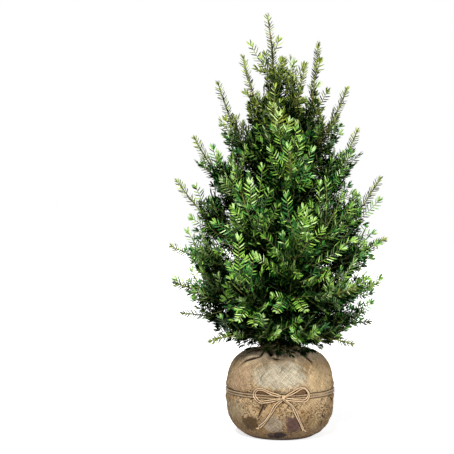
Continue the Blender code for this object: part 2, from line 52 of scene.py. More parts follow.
# Where each lamp's light comes from, its strength, and how many degrees of the sky it fills
KEY_LAMP = ((-0.5, -1.8, 1.9), 4.2, 9.0)
FILL_LAMP = ((1.4, -2.6, 0.62), 1.7, 18.0)


def add_object(name, data):
    made = bpy.data.objects.new(name, data)
    bpy.context.scene.collection.objects.link(made)
    return made


def soft_lamp(name, source, strength, spread):
    lamp = bpy.data.lights.new(name, "SUN")
    lamp.energy = strength
    lamp.angle = math.radians(spread)
    made = add_object(name, lamp)
    made.rotation_euler = Vector(source).to_track_quat("Z", "Y").to_euler()


view = add_object("camera", bpy.data.cameras.new("camera"))
view.data.lens = LENS
view.data.sensor_width = SENSOR_WIDTH
view.location = CAMERA_PLACE
view.rotation_euler = (math.pi / 2, 0.0, 0.0)
bpy.context.scene.camera = view
bpy.context.scene.view_settings.view_transform = "Standard"

soft_lamp("key_lamp", *KEY_LAMP)
soft_lamp("fill_lamp", *FILL_LAMP)

sky = bpy.data.worlds.new("pale sky")
sky.use_nodes = True
bpy.context.scene.world = sky
sky_nodes, sky_links = sky.node_tree.nodes, sky.node_tree.links
seen_directly = sky_nodes.new("ShaderNodeLightPath")
brightness = sky_nodes.new("ShaderNodeMix")
brightness.inputs["A"].default_value = SKY_LIGHT
brightness.inputs["B"].default_value = 1.0
sky_links.new(seen_directly.outputs["Is Camera Ray"], brightness.inputs["Factor"])
sky_links.new(brightness.outputs["Result"], sky_nodes["Background"].inputs["Strength"])
sky_nodes["Background"].inputs["Color"].default_value = (1.0, 1.0, 1.0, 1.0)

floor_mesh = bpy.data.meshes.new("floor")
floor_corners = [(x * FLOOR_REACH, y * FLOOR_REACH, 0) for x, y in ((-1, -1), (1, -1), (1, 1), (-1, 1))]
floor_mesh.from_pydata(floor_corners, [], [(0, 1, 2, 3)])
floor = add_object("floor", floor_mesh)
floor_finish = bpy.data.materials.new("pale floor")
floor_finish.use_nodes = True
floor_shader = floor_finish.node_tree.nodes["Principled BSDF"]
floor_shader.inputs["Base Color"].default_value = FLOOR_COLOUR
floor_shader.inputs["Roughness"].default_value = FLOOR_ROUGHNESS
floor_shader.inputs["Emission Strength"].default_value = FLOOR_GLOW
floor_seen = floor_finish.node_tree.nodes.new("ShaderNodeLightPath")
floor_finish.node_tree.links.new(floor_seen.outputs["Is Camera Ray"], floor_shader.inputs["Emission Color"])
floor_mesh.materials.append(floor_finish)


# The root ball: a settled lump of moist soil and roots, wrapped in one square of hessian, a plain weave of
# thick uneven jute threads. The cloth lies tight over the belly and creases towards the neck, where its
# edges are gathered up round the trunk. It is stained with soil and darker towards the bottom. Painted
# light makes it paler at the neck, and painted shade darkens its creases, the cloth beside the twine and
# its foot by the floor.

MM = 0.001
BALL_RADIUS = 0.150
BALL_WAIST = 0.115  # height of its widest place
BALL_DROP, LOWER_ROUNDNESS = 0.126, 2.8  # how far it goes on below the waist, and how squarely
BALL_RISE, UPPER_ROUNDNESS = 0.135, 2.9
SOIL_TOP = 0.240
SLUMPS = [(2, 0.6, 0.0022), (3, -1.1, 0.0014)]  # waves round the ball: how many, where, how deep
PLEATS = 10
PLEAT_DEPTH = 0.0045
TWINE_HEIGHT = 0.128
TWINE_BITE, BITE_WIDTH = 0.0025, 0.010
NECK_RADIUS = 0.057
NECK_HEIGHT = 0.2462
NECK_SAG = 0.0035
CLOTH_THICKNESS = 0.0006
CLOTH_COLUMNS = 400
CLOTH_STEP = 0.0023

# Creases of the front as points (across, back, up), width and depth, all in millimetres
FRONT_CREASES = [
    ([(-52, -70, 239), (-60, -87, 231), (-82, -83, 223), (-99, -76, 215), (-116, -71, 199)], 3.4, 5.0),
    ([(-37, -52, 244), (-31, -86, 238), (-30, -102, 230)], 4.0, 8.0),
    ([(-29, -106, 228), (-17, -112, 225), (-5, -112, 226)], 3.0, 3.0),
    ([(38, -50, 246), (49, -62, 241), (60, -83, 233), (74, -89, 224), (86, -96, 210)], 3.8, 7.5),
    ([(-115, -28, 221), (-98, -41, 230), (-83, -44, 237)], 3.2, 4.0),
    ([(-61, -115, 208), (-75, -114, 198), (-86, -115, 179), (-85, -121, 160), (-80, -126, 147)], 3.6, 1.5),
    ([(55, -118, 208), (69, -121, 191), (71, -127, 171), (66, -133, 157)], 3.4, 1.3),
    ([(4, -126, 214), (-2, -135, 201), (-7, -141, 187)], 4.0, 2.6),
    ([(-42, -128, 200), (-56, -132, 179), (-59, -135, 162)], 3.4, 1.8),
    ([(122, -49, 206), (134, -45, 186), (136, -53, 170), (133, -68, 143)], 3.4, 5.0),
    ([(133, -69, 118), (141, -50, 100)], 3.2, 4.0),
    ([(112, -98, 86), (111, -96, 69), (118, -85, 63)], 3.0, 4.0),
    ([(110, -91, 56), (106, -83, 38)], 3.2, 3.6),
    ([(-52, -141, 108), (-61, -136, 86), (-68, -130, 68)], 3.4, 3.2),
    ([(-43, -144, 109), (-50, -141, 91)], 3.0, 2.4),
    ([(-112, -92, 24), (-51, -112, 17), (-3, -118, 14), (52, -110, 14)], 3.6, 2.6),
    ([(24, -143, 108), (32, -142, 88), (28, -138, 66)], 3.6, 1.8),
    ([(-96, -112, 112), (-100, -106, 92), (-92, -108, 74)], 3.6, 2.0),
]
NECK_CREASE_ABOVE = 225  # millimetres: creases that start above it are wider than drawn, others narrower
NECK_CREASE_WIDER, LOW_CREASE_WIDER = 1.35, 0.85
SIDE_CREASES = 22
CREASE_LENGTHS, CREASE_DRIFT = (0.030, 0.062), 0.24  # of the side ones; radians that they drift round
CREASE_WIDTHS, CREASE_DEPTHS = (0.0032, 0.0045), (0.0008, 0.0024)
CREASE_LIPS = (0.42, 2.4, 1.5)  # height as a share of the crease's depth, place and width in its widths
DEEP_CREASE = 0.004  # from this depth on a crease's painted shade is as dark as it gets
# Unevenness as (how many in a metre, height): the soil's lumps, smaller ones, and puckers of the cloth
SOIL_LUMPS, SMALL_LUMPS, PUCKERS = (19.0, 0.0030), (52.0, 0.0021), (118.0, 0.0020)
POUCH = ((-0.006, 0.175), (0.080, 0.042), 0.0045)  # middle, half sizes and rise of the loose panel
TWINE_SWELL = (0.0016, 0.017, 0.007)  # rise of the cloth beside the twine, how far from it and how wide
TWINE_DENT = (0.0016, 0.0055)  # depth and width of the dent under the twine
TWINE_SHADE = (0.62, 0.0060, 0.0020)  # darkness beside the twine, how far from it and how wide
NECK_SHADE = (0.75, 0.219, 0.016)  # darkness between pleats, where it starts and how much higher it is full


def ball_radius(z):
    """Radius of the wrapped ball at each height, before its pleats."""
    z = np.asarray(z, float)
    above = z > BALL_WAIST
    height = np.where(above, BALL_RISE, BALL_DROP)
    power = np.where(above, UPPER_ROUNDNESS, LOWER_ROUNDNESS)
    share = np.minimum(np.abs(z - BALL_WAIST) / height, 1.0)
    press = np.exp(-(((z - TWINE_HEIGHT) / BITE_WIDTH) ** 2))
    return BALL_RADIUS * (1 - share**power) ** (1 / power) - TWINE_BITE * press


def pleat(angle, z):
    """How far the gathered cloth stands in or out, which fades out towards the waist."""
    gathered = np.maximum(0.0, (z - BALL_WAIST) / (SOIL_TOP - BALL_WAIST)) ** 2
    slump = sum(depth * np.sin(waves * angle + start) for waves, start, depth in SLUMPS)
    settled = np.sin(np.pi * np.minimum(1.0, z / SOIL_TOP))
    return PLEAT_DEPTH * gathered * np.cos(PLEATS * angle) + slump * settled


def ring_points(radius, angle, z):
    """Points at angles round the plant's axis."""
    return np.stack([radius * np.cos(angle), radius * np.sin(angle), z + 0 * angle], axis=-1)


def on_side(angle, z):
    """Points on the cloth, by how far round the ball and how high."""
    return ring_points(ball_radius(z) + pleat(angle, z), angle, z)


def on_front(x, z, proud):
    """Points on the front of the ball, by how far across and how high, a little proud of the cloth."""
    radius = ball_radius(z) + proud
    angle = -np.arccos(np.clip(x / radius, -1.0, 1.0))
    return ring_points(radius + pleat(angle, z), angle, z)


def unit(vector):
    return vector / np.linalg.norm(vector)


def units(rows):
    """Each row as a vector of length one."""
    return rows / np.linalg.norm(rows, axis=1)[:, None]


def spans_of(line):
    """The distance from each point of a line to the next."""
    return np.linalg.norm(np.diff(line, axis=0), axis=1)


def way_along(line):
    """How far along a line each of its points lies."""
    return np.concatenate([[0.0], np.cumsum(spans_of(line))])


def evenly(line, step):
    """A line's points, put at even steps along it."""
    along = way_along(line)
    count = max(2, int(round(along[-1] / step)) + 1)
    marks = np.linspace(0.0, along[-1], count)
    return np.stack([np.interp(marks, along, line[:, k]) for k in range(line.shape[1])], axis=1)


def cloth_outline():
    """(radius, height) points of the wrapping from under the ball, over its side, to the neck."""
    under = [(r, CLOTH_THICKNESS) for r in np.linspace(0.003, float(ball_radius(0.0)) - 0.002, 40)]
    swing = (1 - np.cos(np.pi * np.linspace(0, 1, 300))) / 2
    side = [(float(ball_radius(z)), z) for z in CLOTH_THICKNESS + (SOIL_TOP - CLOTH_THICKNESS) * swing]
    last = side[-1][0]
    neck = []
    for t in np.linspace(0.05, 1, 30):
        sag = NECK_SAG * math.sin(math.pi * t)
        neck.append((last + (NECK_RADIUS - last) * t, SOIL_TOP + (NECK_HEIGHT - SOIL_TOP) * t**1.4 - sag))
    fine = evenly(np.array(under + side + neck), 0.0008)
    window = np.ones(9) / 9
    padded = np.pad(fine, ((4, 4), (0, 0)), mode="edge")
    soft = np.stack([np.convolve(padded[:, k], window, mode="valid") for k in range(2)], axis=1)
    return evenly(soft, CLOTH_STEP)


def nearness(points, line, width):
    """(how near points lie to a line across the cloth in widths, the share of its length they lie at)."""
    best = np.full(len(points), 1e9)
    share = np.zeros(len(points))
    spans = len(line) - 1
    for n, (a, b) in enumerate(zip(line, line[1:])):
        along = np.clip((points - a) @ (b - a) / ((b - a) @ (b - a)), 0.0, 1.0)
        distance = np.linalg.norm(points - a - along[:, None] * (b - a), axis=1)
        nearer = distance < best
        best = np.where(nearer, distance, best)
        share = np.where(nearer, (n + along) / spans, share)
    return best / width, share


def smooth_line(points, count):
    """Points on a Catmull-Rom curve through the given ones."""
    points = np.asarray(points, float)
    spans = len(points) - 1
    found = []
    for n in range(count):
        at = n * spans / (count - 1)
        k = min(int(at), spans - 1)
        t = at - k
        a, b, c, d = (points[max(0, min(spans, k + i))] for i in (-1, 0, 1, 2))
        bend = (2 * a - 5 * b + 4 * c - d) * t**2 + (3 * b - a - 3 * c + d) * t**3
        found.append(0.5 * (2 * b + (c - a) * t + bend))
    return np.array(found)


def all_creases():
    """Every crease as (line on the ball, width, depth): those of the front, and the rest dealt round."""
    found = []
    for marks, width, depth in FRONT_CREASES:
        wider = NECK_CREASE_WIDER if marks[0][2] > NECK_CREASE_ABOVE else LOW_CREASE_WIDER
        found.append((smooth_line(marks, 12) * MM, wider * width * MM, depth * MM))
    draw = random.Random("creases of the wrapping")
    for n in range(SIDE_CREASES):
        start = math.radians(-18 + 216 * (n + draw.uniform(0.15, 0.85)) / SIDE_CREASES)
        drift = draw.uniform(-CREASE_DRIFT, CREASE_DRIFT)
        high = draw.uniform(0.236, 0.243) if n % 2 else draw.uniform(0.060, 0.200)
        low = max(0.012, high - draw.uniform(*CREASE_LENGTHS))
        angles = start + drift * np.linspace(0, 1, 10) ** 1.3
        heights = np.linspace(high, low, 10)
        width, depth = draw.uniform(*CREASE_WIDTHS), draw.uniform(*CREASE_DEPTHS)
        found.append((on_side(angles, heights), width, depth))
    return found


def lumps(points):
    """Soft unevenness of the soil under the cloth, and small puckers of the cloth, strongest low down."""
    found = np.empty(len(points))
    for n, p in enumerate(points):
        spot = Vector(p)
        wide = noise.noise(spot * SOIL_LUMPS[0])
        small = noise.noise(spot * SMALL_LUMPS[0] + Vector((7, 3, 1)))
        pucker = abs(noise.noise(spot * PUCKERS[0] + Vector((2, 9, 4))))
        found[n] = SOIL_LUMPS[1] * wide + SMALL_LUMPS[1] * small - PUCKERS[1] * pucker
    below = np.clip((0.17 - points[:, 2]) / 0.09, 0.40, 1.0)
    edge = np.clip(points[:, 2] / 0.02, 0.0, 1.0)
    return found * below * edge


def piece_from(name, points, faces, finish, smooth=True):
    """One object from an array of points and one of faces, all with the same count of corners."""
    mesh = bpy.data.meshes.new(name)
    count, corners = faces.shape
    mesh.vertices.add(len(points))
    mesh.vertices.foreach_set("co", np.asarray(points, np.float32).ravel())
    mesh.loops.add(count * corners)
    mesh.loops.foreach_set("vertex_index", np.asarray(faces, np.int32).ravel())
    mesh.polygons.add(count)
    mesh.polygons.foreach_set("loop_start", np.arange(0, count * corners, corners, dtype=np.int32))
    mesh.polygons.foreach_set("use_smooth", np.full(count, smooth))
    mesh.update(calc_edges=True)
    mesh.materials.append(finish)
    made = add_object(name, mesh)
    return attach(made, "root")


def add_uv(piece, places, columns=0, once_round=(0.0, 0.0)):
    """Gives each corner the place on the cloth or along the strand that its point has.

    Where the quads of a skin close up after their columns, the last ones go on once round.
    """
    layer = piece.data.uv_layers.new(name="weave")
    corner = np.empty(len(piece.data.loops), np.int32)
    piece.data.loops.foreach_get("vertex_index", corner)
    found = np.asarray(places, np.float32)[corner]
    if columns:
        quads = found.reshape(-1, 4, 2)
        quads[columns - 1 :: columns, 1:3] += np.array(once_round, np.float32)
    layer.data.foreach_set("uv", found.ravel())


def add_values(piece, name, values):
    layer = piece.data.attributes.new(name, "FLOAT", "POINT")
    layer.data.foreach_set("value", np.asarray(values, np.float32))


def band_faces(rings, around):
    """Quads of a skin whose rings follow each other in the array of points."""
    k = np.arange(rings - 1)[:, None] * around
    i = np.arange(around)[None, :]
    ahead = (i + 1) % around
    corners = [k + i, k + ahead, k + ahead + around, k + i + around]
    return np.stack([c.ravel() for c in corners], axis=1)


def on_bias(across, along):
    """Places on the cloth, whose threads run at 45 degrees to the way round the ball."""
    return np.stack([across + along, along - across], axis=1) / math.sqrt(2)


def drape_cloth():
    """(points, faces, places on the cloth, painted shade in its folds) of the wrapping."""
    outline = cloth_outline()
    rows = len(outline)
    slope = units(np.gradient(outline, axis=0))
    angle = np.linspace(0, 2 * np.pi, CLOTH_COLUMNS, endpoint=False)
    radius = np.repeat(outline[:, 0], CLOTH_COLUMNS)
    height = np.repeat(outline[:, 1], CLOTH_COLUMNS)
    turn = np.tile(angle, rows)
    inward = np.clip((radius - 0.03) / 0.06, 0.0, 1.0)
    radius = radius + pleat(turn, np.minimum(height, SOIL_TOP)) * inward
    base = ring_points(radius, turn, height)
    out = np.repeat(slope[:, 1], CLOTH_COLUMNS)
    up = -np.repeat(slope[:, 0], CLOTH_COLUMNS)
    facing = ring_points(out, turn, up)

    rise = lumps(base)
    # Painted shade for each point: in the creases, beside the twine and between the neck's pleats
    fold_shade = np.zeros(len(base))
    lip_height, lip_place, lip_width = CREASE_LIPS
    for line, width, depth in all_creases():
        near, share = nearness(base, line, width)
        fade = np.sin(np.pi * np.clip(share * 0.86 + 0.10, 0, 1)) ** 0.7
        hollow = np.exp(-(near**2)) * fade
        lips = np.exp(-(((near - lip_place) / lip_width) ** 2)) * fade
        rise += depth * (lip_height * lips - hollow)
        fold_shade = np.maximum(fold_shade, hollow * min(1.0, depth / DEEP_CREASE))
    (across, high), (half_wide, half_high), swell = POUCH
    front = base[:, 1] < 0
    spread = ((base[:, 0] - across) / half_wide) ** 2 + ((base[:, 2] - high) / half_high) ** 2
    rise += np.where(front, swell * np.exp(-(spread**1.6)), 0.0)
    beside = np.abs(base[:, 2] - TWINE_HEIGHT)
    swell, place, width = TWINE_SWELL
    rise += swell * np.exp(-(((beside - place) / width) ** 2))
    dent, width = TWINE_DENT
    rise -= dent * np.exp(-((beside / width) ** 2))
    dark, place, width = TWINE_SHADE
    fold_shade = np.maximum(fold_shade, dark * np.exp(-(((beside - place) / width) ** 2)))
    dark, above, within = NECK_SHADE
    valley = (0.5 - 0.5 * np.cos(PLEATS * turn + 1.2 * np.sin(3 * turn))) ** 7
    fold_shade = np.maximum(fold_shade, dark * valley * np.clip((base[:, 2] - above) / within, 0.0, 1.0))
    floor_side = np.clip(height / 0.006, 0.0, 1.0)
    points = base + facing * (rise * floor_side)[:, None]
    points[:, 2] = np.maximum(points[:, 2], 0.0004)
    along = np.repeat(np.arange(rows) * CLOTH_STEP, CLOTH_COLUMNS)
    return points, band_faces(rows, CLOTH_COLUMNS), on_bias(turn * BALL_RADIUS, along), fold_shade


WEAVE_COUNT = 225  # threads that cross the cloth's bias on its way round the ball
HESSIAN_PITCH = 2 * math.pi * BALL_RADIUS / (math.sqrt(2) * WEAVE_COUNT)
HESSIAN_ROUGHNESS, HESSIAN_SHEEN, HESSIAN_GLOSS = 0.93, 0.04, 0.12
HESSIAN_STRAW = (0.490, 0.352, 0.196)
HESSIAN_BROWN = (0.330, 0.205, 0.088)
HESSIAN_GAP = (0.045, 0.026, 0.013)
# Painted light: the cloth is made paler towards the neck, where the crown's shade falls on it
PAINTED_NECK_LIGHT = (0.74, 0.59, 0.40)
# The colour that the cloth takes on towards the bottom, darker there
FOOT_DARKENING = (0.150, 0.086, 0.036)
# Painted shade in the small creases of the cloth
PAINTED_PUCKER_SHADE = (0.050, 0.026, 0.010)
# Painted shadow along the cloth's foot, where it meets the floor
PAINTED_CONTACT_SHADOW = (0.020, 0.010, 0.004)
# Painted shade in the creases, between the neck's pleats and beside the twine
PAINTED_FOLD_SHADE = (0.014, 0.008, 0.004)
# Stains and worn places, and painted shade inside the bow's loops: middle, half sizes, colour and strength
PATCHES = [
    ((-0.008, -0.140, 0.182), (0.078, 0.060, 0.036), (0.45, 0.420, 0.320), 0.75),
    ((-0.113, -0.092, 0.171), (0.036, 0.050, 0.036), (0.44, 0.305, 0.190), 0.55),
    ((-0.027, -0.138, 0.052), (0.030, 0.040, 0.026), (0.28, 0.250, 0.200), 0.55),
    ((-0.088, -0.113, 0.052), (0.024, 0.045, 0.021), (0.065, 0.036, 0.012), 0.95),
    ((0.027, -0.140, 0.053), (0.024, 0.040, 0.024), (0.075, 0.038, 0.038), 0.92),
    ((-0.015, -0.120, 0.020), (0.024, 0.040, 0.011), (0.006, 0.003, 0.008), 0.98),
    ((0.090, -0.115, 0.050), (0.024, 0.045, 0.018), (0.30, 0.215, 0.105), 0.60),
    ((-0.125, -0.081, 0.086), (0.024, 0.045, 0.026), (0.32, 0.260, 0.155), 0.60),
    # Painted shade on the cloth inside the two loops of the bow
    ((-0.054, -0.140, 0.139), (0.026, 0.040, 0.010), (0.20, 0.088, 0.044), 0.75),
    ((0.046, -0.140, 0.139), (0.024, 0.040, 0.010), (0.18, 0.085, 0.040), 0.75),
    ((0.108, -0.088, 0.040), (0.016, 0.030, 0.014), (0.16, 0.095, 0.045), 0.60),
    ((0.070, 0.120, 0.050), (0.045, 0.050, 0.026), (0.120, 0.075, 0.040), 0.75),
    ((-0.110, 0.080, 0.060), (0.034, 0.040, 0.030), (0.150, 0.100, 0.060), 0.65),
    ((0.105, -0.095, 0.165), (0.045, 0.060, 0.050), (0.62, 0.455, 0.250), 0.60),
    ((0.120, 0.060, 0.160), (0.040, 0.060, 0.045), (0.50, 0.44, 0.32), 0.60),
    ((-0.060, 0.130, 0.160), (0.050, 0.050, 0.040), (0.50, 0.44, 0.32), 0.50),
]


class Wiring:
    """Adds nodes to one tree and joins them, given values or the sockets of other nodes."""

    def __init__(self, tree):
        self.tree = tree

    def node(self, kind, inputs=None, **settings):
        made = self.tree.nodes.new(kind)
        for name, value in settings.items():
            setattr(made, name, value)
        for name, value in (inputs or {}).items():
            self.set(made.inputs[name], value)
        return made

    def set(self, entry, value):
        if isinstance(value, bpy.types.NodeSocket):
            self.tree.links.new(value, entry)
        elif isinstance(value, tuple) and len(value) == 3 and entry.type == "RGBA":
            entry.default_value = (*value, 1.0)
        else:
            entry.default_value = value

    def maths(self, operation, *values):
        made = self.node("ShaderNodeMath", operation=operation)
        for entry, value in zip(made.inputs, values):
            self.set(entry, value)
        return made.outputs[0]

    def vector(self, operation, *values):
        made = self.node("ShaderNodeVectorMath", operation=operation)
        for entry, value in zip(made.inputs, values):
            self.set(entry, value)
        return made.outputs["Value" if operation in ("LENGTH", "DISTANCE") else "Vector"]

    def blend(self, share, first, second, kind="MIX"):
        made = self.node("ShaderNodeMix", data_type="RGBA", blend_type=kind)
        self.set(made.inputs[0], share)
        self.set(made.inputs[6], first)
        self.set(made.inputs[7], second)
        return made.outputs[2]

    def ramp(self, value, low, high, start=0.0, end=1.0):
        made = self.node("ShaderNodeMapRange", interpolation_type="SMOOTHSTEP")
        for entry, part in zip(made.inputs, (value, low, high, start, end)):
            self.set(entry, part)
        return made.outputs[0]

    def cloud(self, place, scale, detail=3.0, roughness=0.55):
        inputs = {"Vector": place, "Scale": scale, "Detail": detail, "Roughness": roughness}
        return self.node("ShaderNodeTexNoise", inputs).outputs[0]


def new_group(name, inputs, outputs):
    """An empty node group with the named sockets, as (group, wiring, its input node, its output node)."""
    group = bpy.data.node_groups.new(name, "ShaderNodeTree")
    for label, kind in inputs:
        group.interface.new_socket(label, in_out="INPUT", socket_type=kind)
    for label, kind in outputs:
        group.interface.new_socket(label, in_out="OUTPUT", socket_type=kind)
    wires = Wiring(group)
    return group, wires, group.nodes.new("NodeGroupInput"), group.nodes.new("NodeGroupOutput")


def weave_group():
    """Plain weave: the height of the threads, the gaps between them and how threads differ."""
    number = "NodeSocketFloat"
    inputs = [("Place", "NodeSocketVector"), ("Pitch", number), ("Unevenness", number)]
    outputs = [("Height", number), ("Gap", number), ("Thread", number)]
    group, w, entry, result = new_group("plain weave", inputs, outputs)
    wander = w.node("ShaderNodeTexNoise", {"Vector": entry.outputs["Place"], "Scale": 45.0})
    shift = w.vector("SUBTRACT", wander.outputs["Color"], (0.5, 0.5, 0.5))
    sway = w.vector("MULTIPLY", shift, (0.0030, 0.0030, 0.0))
    place = w.vector("ADD", entry.outputs["Place"], sway)
    scaled = w.node("ShaderNodeVectorMath", operation="SCALE")
    w.set(scaled.inputs[0], place)
    w.set(scaled.inputs["Scale"], w.maths("DIVIDE", 1.0, entry.outputs["Pitch"]))
    parts = w.node("ShaderNodeSeparateXYZ", {"Vector": scaled.outputs[0]})
    across, along = parts.outputs["X"], parts.outputs["Y"]
    wave_across = w.maths("SINE", w.maths("MULTIPLY", across, math.pi))
    wave_along = w.maths("SINE", w.maths("MULTIPLY", along, math.pi))
    over = w.maths("MULTIPLY", w.maths("MULTIPLY", wave_across, wave_along), 0.35)

    def thread(wave, lift, fixed, running):
        """One set of threads: its height, and a brightness of its own for each thread."""
        number_of = w.maths("FLOOR", fixed)
        slow = w.maths("MULTIPLY", running, 0.03)
        spot = w.node("ShaderNodeCombineXYZ", {"X": w.maths("MULTIPLY", number_of, 0.731), "Y": slow})
        own = w.cloud(spot.outputs[0], 3.0, 2.0)
        differs = w.maths("MULTIPLY", w.maths("SUBTRACT", own, 0.5), entry.outputs["Unevenness"])
        thick = w.maths("ADD", 0.65, differs)
        rounded = w.maths("POWER", w.maths("ABSOLUTE", wave), 0.6)
        return w.maths("MULTIPLY", rounded, w.maths("ADD", thick, lift)), own

    warp, warp_own = thread(wave_across, over, across, along)
    weft, weft_own = thread(wave_along, w.maths("MULTIPLY", over, -1.0), along, across)
    height = w.maths("MAXIMUM", warp, weft)
    first = w.maths("GREATER_THAN", warp, weft)
    own = w.maths("ADD", w.maths("MULTIPLY", first, warp_own),
                  w.maths("MULTIPLY", w.maths("SUBTRACT", 1.0, first), weft_own))
    w.set(result.inputs["Height"], height)
    w.set(result.inputs["Gap"], w.ramp(height, 0.40, 0.74, 1.0, 0.0))
    w.set(result.inputs["Thread"], own)
    return group


def start_material(name, roughness, sheen=0.0):
    """(material, wiring, Principled node) of a new material."""
    made = bpy.data.materials.new(name)
    made.use_nodes = True
    shader = made.node_tree.nodes["Principled BSDF"]
    shader.inputs["Roughness"].default_value = roughness
    shader.inputs["Sheen Weight"].default_value = sheen
    return made, Wiring(made.node_tree), shader


def add_effect(w, group, **inputs):
    """Places a shared node group in a material, with its own values, and gives the group's outputs."""
    placed = w.node("ShaderNodeGroup", inputs, node_tree=group)
    return placed.outputs


def raise_relief(w, shader, height, strength, distance):
    bump = w.node("ShaderNodeBump", {"Strength": strength, "Distance": distance, "Height": height})
    w.set(shader.inputs["Normal"], bump.outputs[0])


WEAVE = weave_group()


def hessian_finish(name, stained):
    """Straw-coloured jute cloth stained with soil, with painted light at the neck and painted shade in
    folds.
    """
    made, w, shader = start_material(name, HESSIAN_ROUGHNESS, HESSIAN_SHEEN)
    shader.inputs["Specular IOR Level"].default_value = HESSIAN_GLOSS
    place = w.node("ShaderNodeUVMap", uv_map="weave").outputs[0]
    where = w.node("ShaderNodeNewGeometry").outputs["Position"]
    weave = add_effect(w, WEAVE, Place=place, Pitch=HESSIAN_PITCH, Unevenness=0.9)
    broad = w.cloud(where, 17.0, 5.0, 0.62)
    colour = w.blend(w.ramp(broad, 0.34, 0.66), HESSIAN_BROWN, HESSIAN_STRAW)
    if stained:
        height = w.node("ShaderNodeSeparateXYZ", {"Vector": where}).outputs["Z"]
        # Painted light: paler towards the neck
        colour = w.blend(w.ramp(height, 0.200, 0.238, 0.0, 0.80), colour, PAINTED_NECK_LIGHT)
        # Darker towards the bottom
        colour = w.blend(w.ramp(height, 0.0, 0.110, 0.80, 0.0), colour, FOOT_DARKENING)
        # Painted shade: thin dark lines of small creases, in patches, more of them low down
        wander = w.maths("ABSOLUTE", w.maths("SUBTRACT", w.cloud(where, 95.0, 2.0, 0.5), 0.5))
        puckered = w.ramp(w.cloud(where, 14.0, 2.0), 0.37, 0.49, 0.0, w.ramp(height, 0.13, 0.22, 1.0, 0.25))
        pucker_shade = w.maths("MULTIPLY", w.ramp(wander, 0.012, 0.050, 1.0, 0.0), puckered)
        colour = w.blend(pucker_shade, colour, PAINTED_PUCKER_SHADE)
        ragged = w.maths("MULTIPLY", w.maths("SUBTRACT", w.cloud(where, 70.0, 5.0, 0.68), 0.5), 2.2)
        for middle, halves, tint, strength in PATCHES:
            offset = w.vector("DIVIDE", w.vector("SUBTRACT", where, middle), halves)
            far = w.maths("ADD", w.vector("LENGTH", offset), ragged)
            colour = w.blend(w.ramp(far, 0.70, 1.25, strength, 0.0), colour, tint)
        # Painted shadow at the cloth's foot, by the floor
        colour = w.blend(w.ramp(height, 0.001, 0.016, 0.90, 0.0), colour, PAINTED_CONTACT_SHADOW)
        # The "fold" attribute holds painted shade: the cloth darkened in creases, between pleats and beside
        # the twine
        fold = w.node("ShaderNodeAttribute", attribute_name="fold").outputs["Fac"]
        colour = w.blend(w.ramp(fold, 0.12, 0.62, 0.0, 1.0), colour, PAINTED_FOLD_SHADE)
    thread = w.ramp(weave["Thread"], 0.30, 0.70, 0.80, 1.16)
    worn = w.node("ShaderNodeCombineXYZ", {"X": thread, "Y": thread, "Z": thread}).outputs[0]
    colour = w.blend(1.0, colour, worn, "MULTIPLY")
    colour = w.blend(w.maths("MULTIPLY", weave["Gap"], 0.85), colour, HESSIAN_GAP)
    w.set(shader.inputs["Base Color"], colour)
    fuzz = w.cloud(where, 900.0, 2.0)
    relief = w.maths("ADD", weave["Height"], w.maths("MULTIPLY", fuzz, 0.25))
    raise_relief(w, shader, relief, 0.75, 0.0011)
    return made


hessian = hessian_finish("hessian wrapping", stained=True)
cloth_points, cloth_faces, cloth_places, cloth_fold_shade = drape_cloth()
wrapping = piece_from("root_ball_wrapping", cloth_points, cloth_faces, hessian)
add_uv(wrapping, cloth_places, CLOTH_COLUMNS, on_bias(2 * math.pi * BALL_RADIUS, np.zeros(1))[0])
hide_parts("root_ball")

# The mouth of the wrapping: the four corners and edges of the square, bunched upright round the trunk's
# foot. The cut edge frays, so loose threads stand out of it.

MOUTH_SIDES = 280
MOUTH_SECTION = [  # (radius, height) from outside the neck, over the rim and down to the trunk
    (0.0600, 0.2440), (0.0568, 0.2464), (0.0545, 0.2510), (0.0532, 0.2560), (0.0540, 0.2605),
    (0.0556, 0.2640), (0.0548, 0.2656), (0.0510, 0.2640), (0.0455, 0.2590), (0.0400, 0.2540),
    (0.0340, 0.2500), (0.0270, 0.2470), (0.0205, 0.2460),
]
MOUTH_FOOT = 0.2440
MOUTH_RISE = 0.0216
MOUTH_RIM = 0.0550
TRUNK_HOLE = 0.0190
MOUTH_STEP = 0.0016
LOOSE_THREADS = 80
THREAD_RADII, THREAD_LENGTHS = (0.00045, 0.00025), (0.006, 0.017)


def rim_shape(angle):
    """(how far the rim stands out in metres, how high as a share) at an angle."""
    fold = 0.0040 * np.cos(PLEATS * angle) + 0.0022 * np.cos(23 * angle + 1.0 + np.sin(3 * angle))
    corner = 0.22 * np.sin(3 * angle + 0.8) + 0.16 * np.cos(17 * angle + 2.0 * np.sin(angle))
    return fold, 0.86 + corner


def mouth_points():
    """(points, count of rings) of the bunched mouth."""
    angle = np.linspace(0, 2 * np.pi, MOUTH_SIDES, endpoint=False)
    fold, high = rim_shape(angle)
    section = smooth_line(MOUTH_SECTION, 40)
    rings = []
    for radius, height in section:
        rise = min(1.0, max(0.0, (height - MOUTH_FOOT) / MOUTH_RISE))
        r = np.maximum(radius + fold * (0.45 + 0.75 * rise) * min(1.0, radius / 0.05), TRUNK_HOLE)
        rings.append(ring_points(r, angle, height + (high - 1) * MOUTH_RISE * rise**1.5))
    return np.concatenate(rings), len(section)


def frames_along(path, up):
    """(tangents, sides, ups) at each point of a path, carried along it without twist."""
    ahead = units(np.gradient(path, axis=0))
    ups = np.empty_like(path)
    for n, t in enumerate(ahead):
        up = unit(up - t * (up @ t))
        ups[n] = up
    return ahead, np.cross(ahead, ups), ups


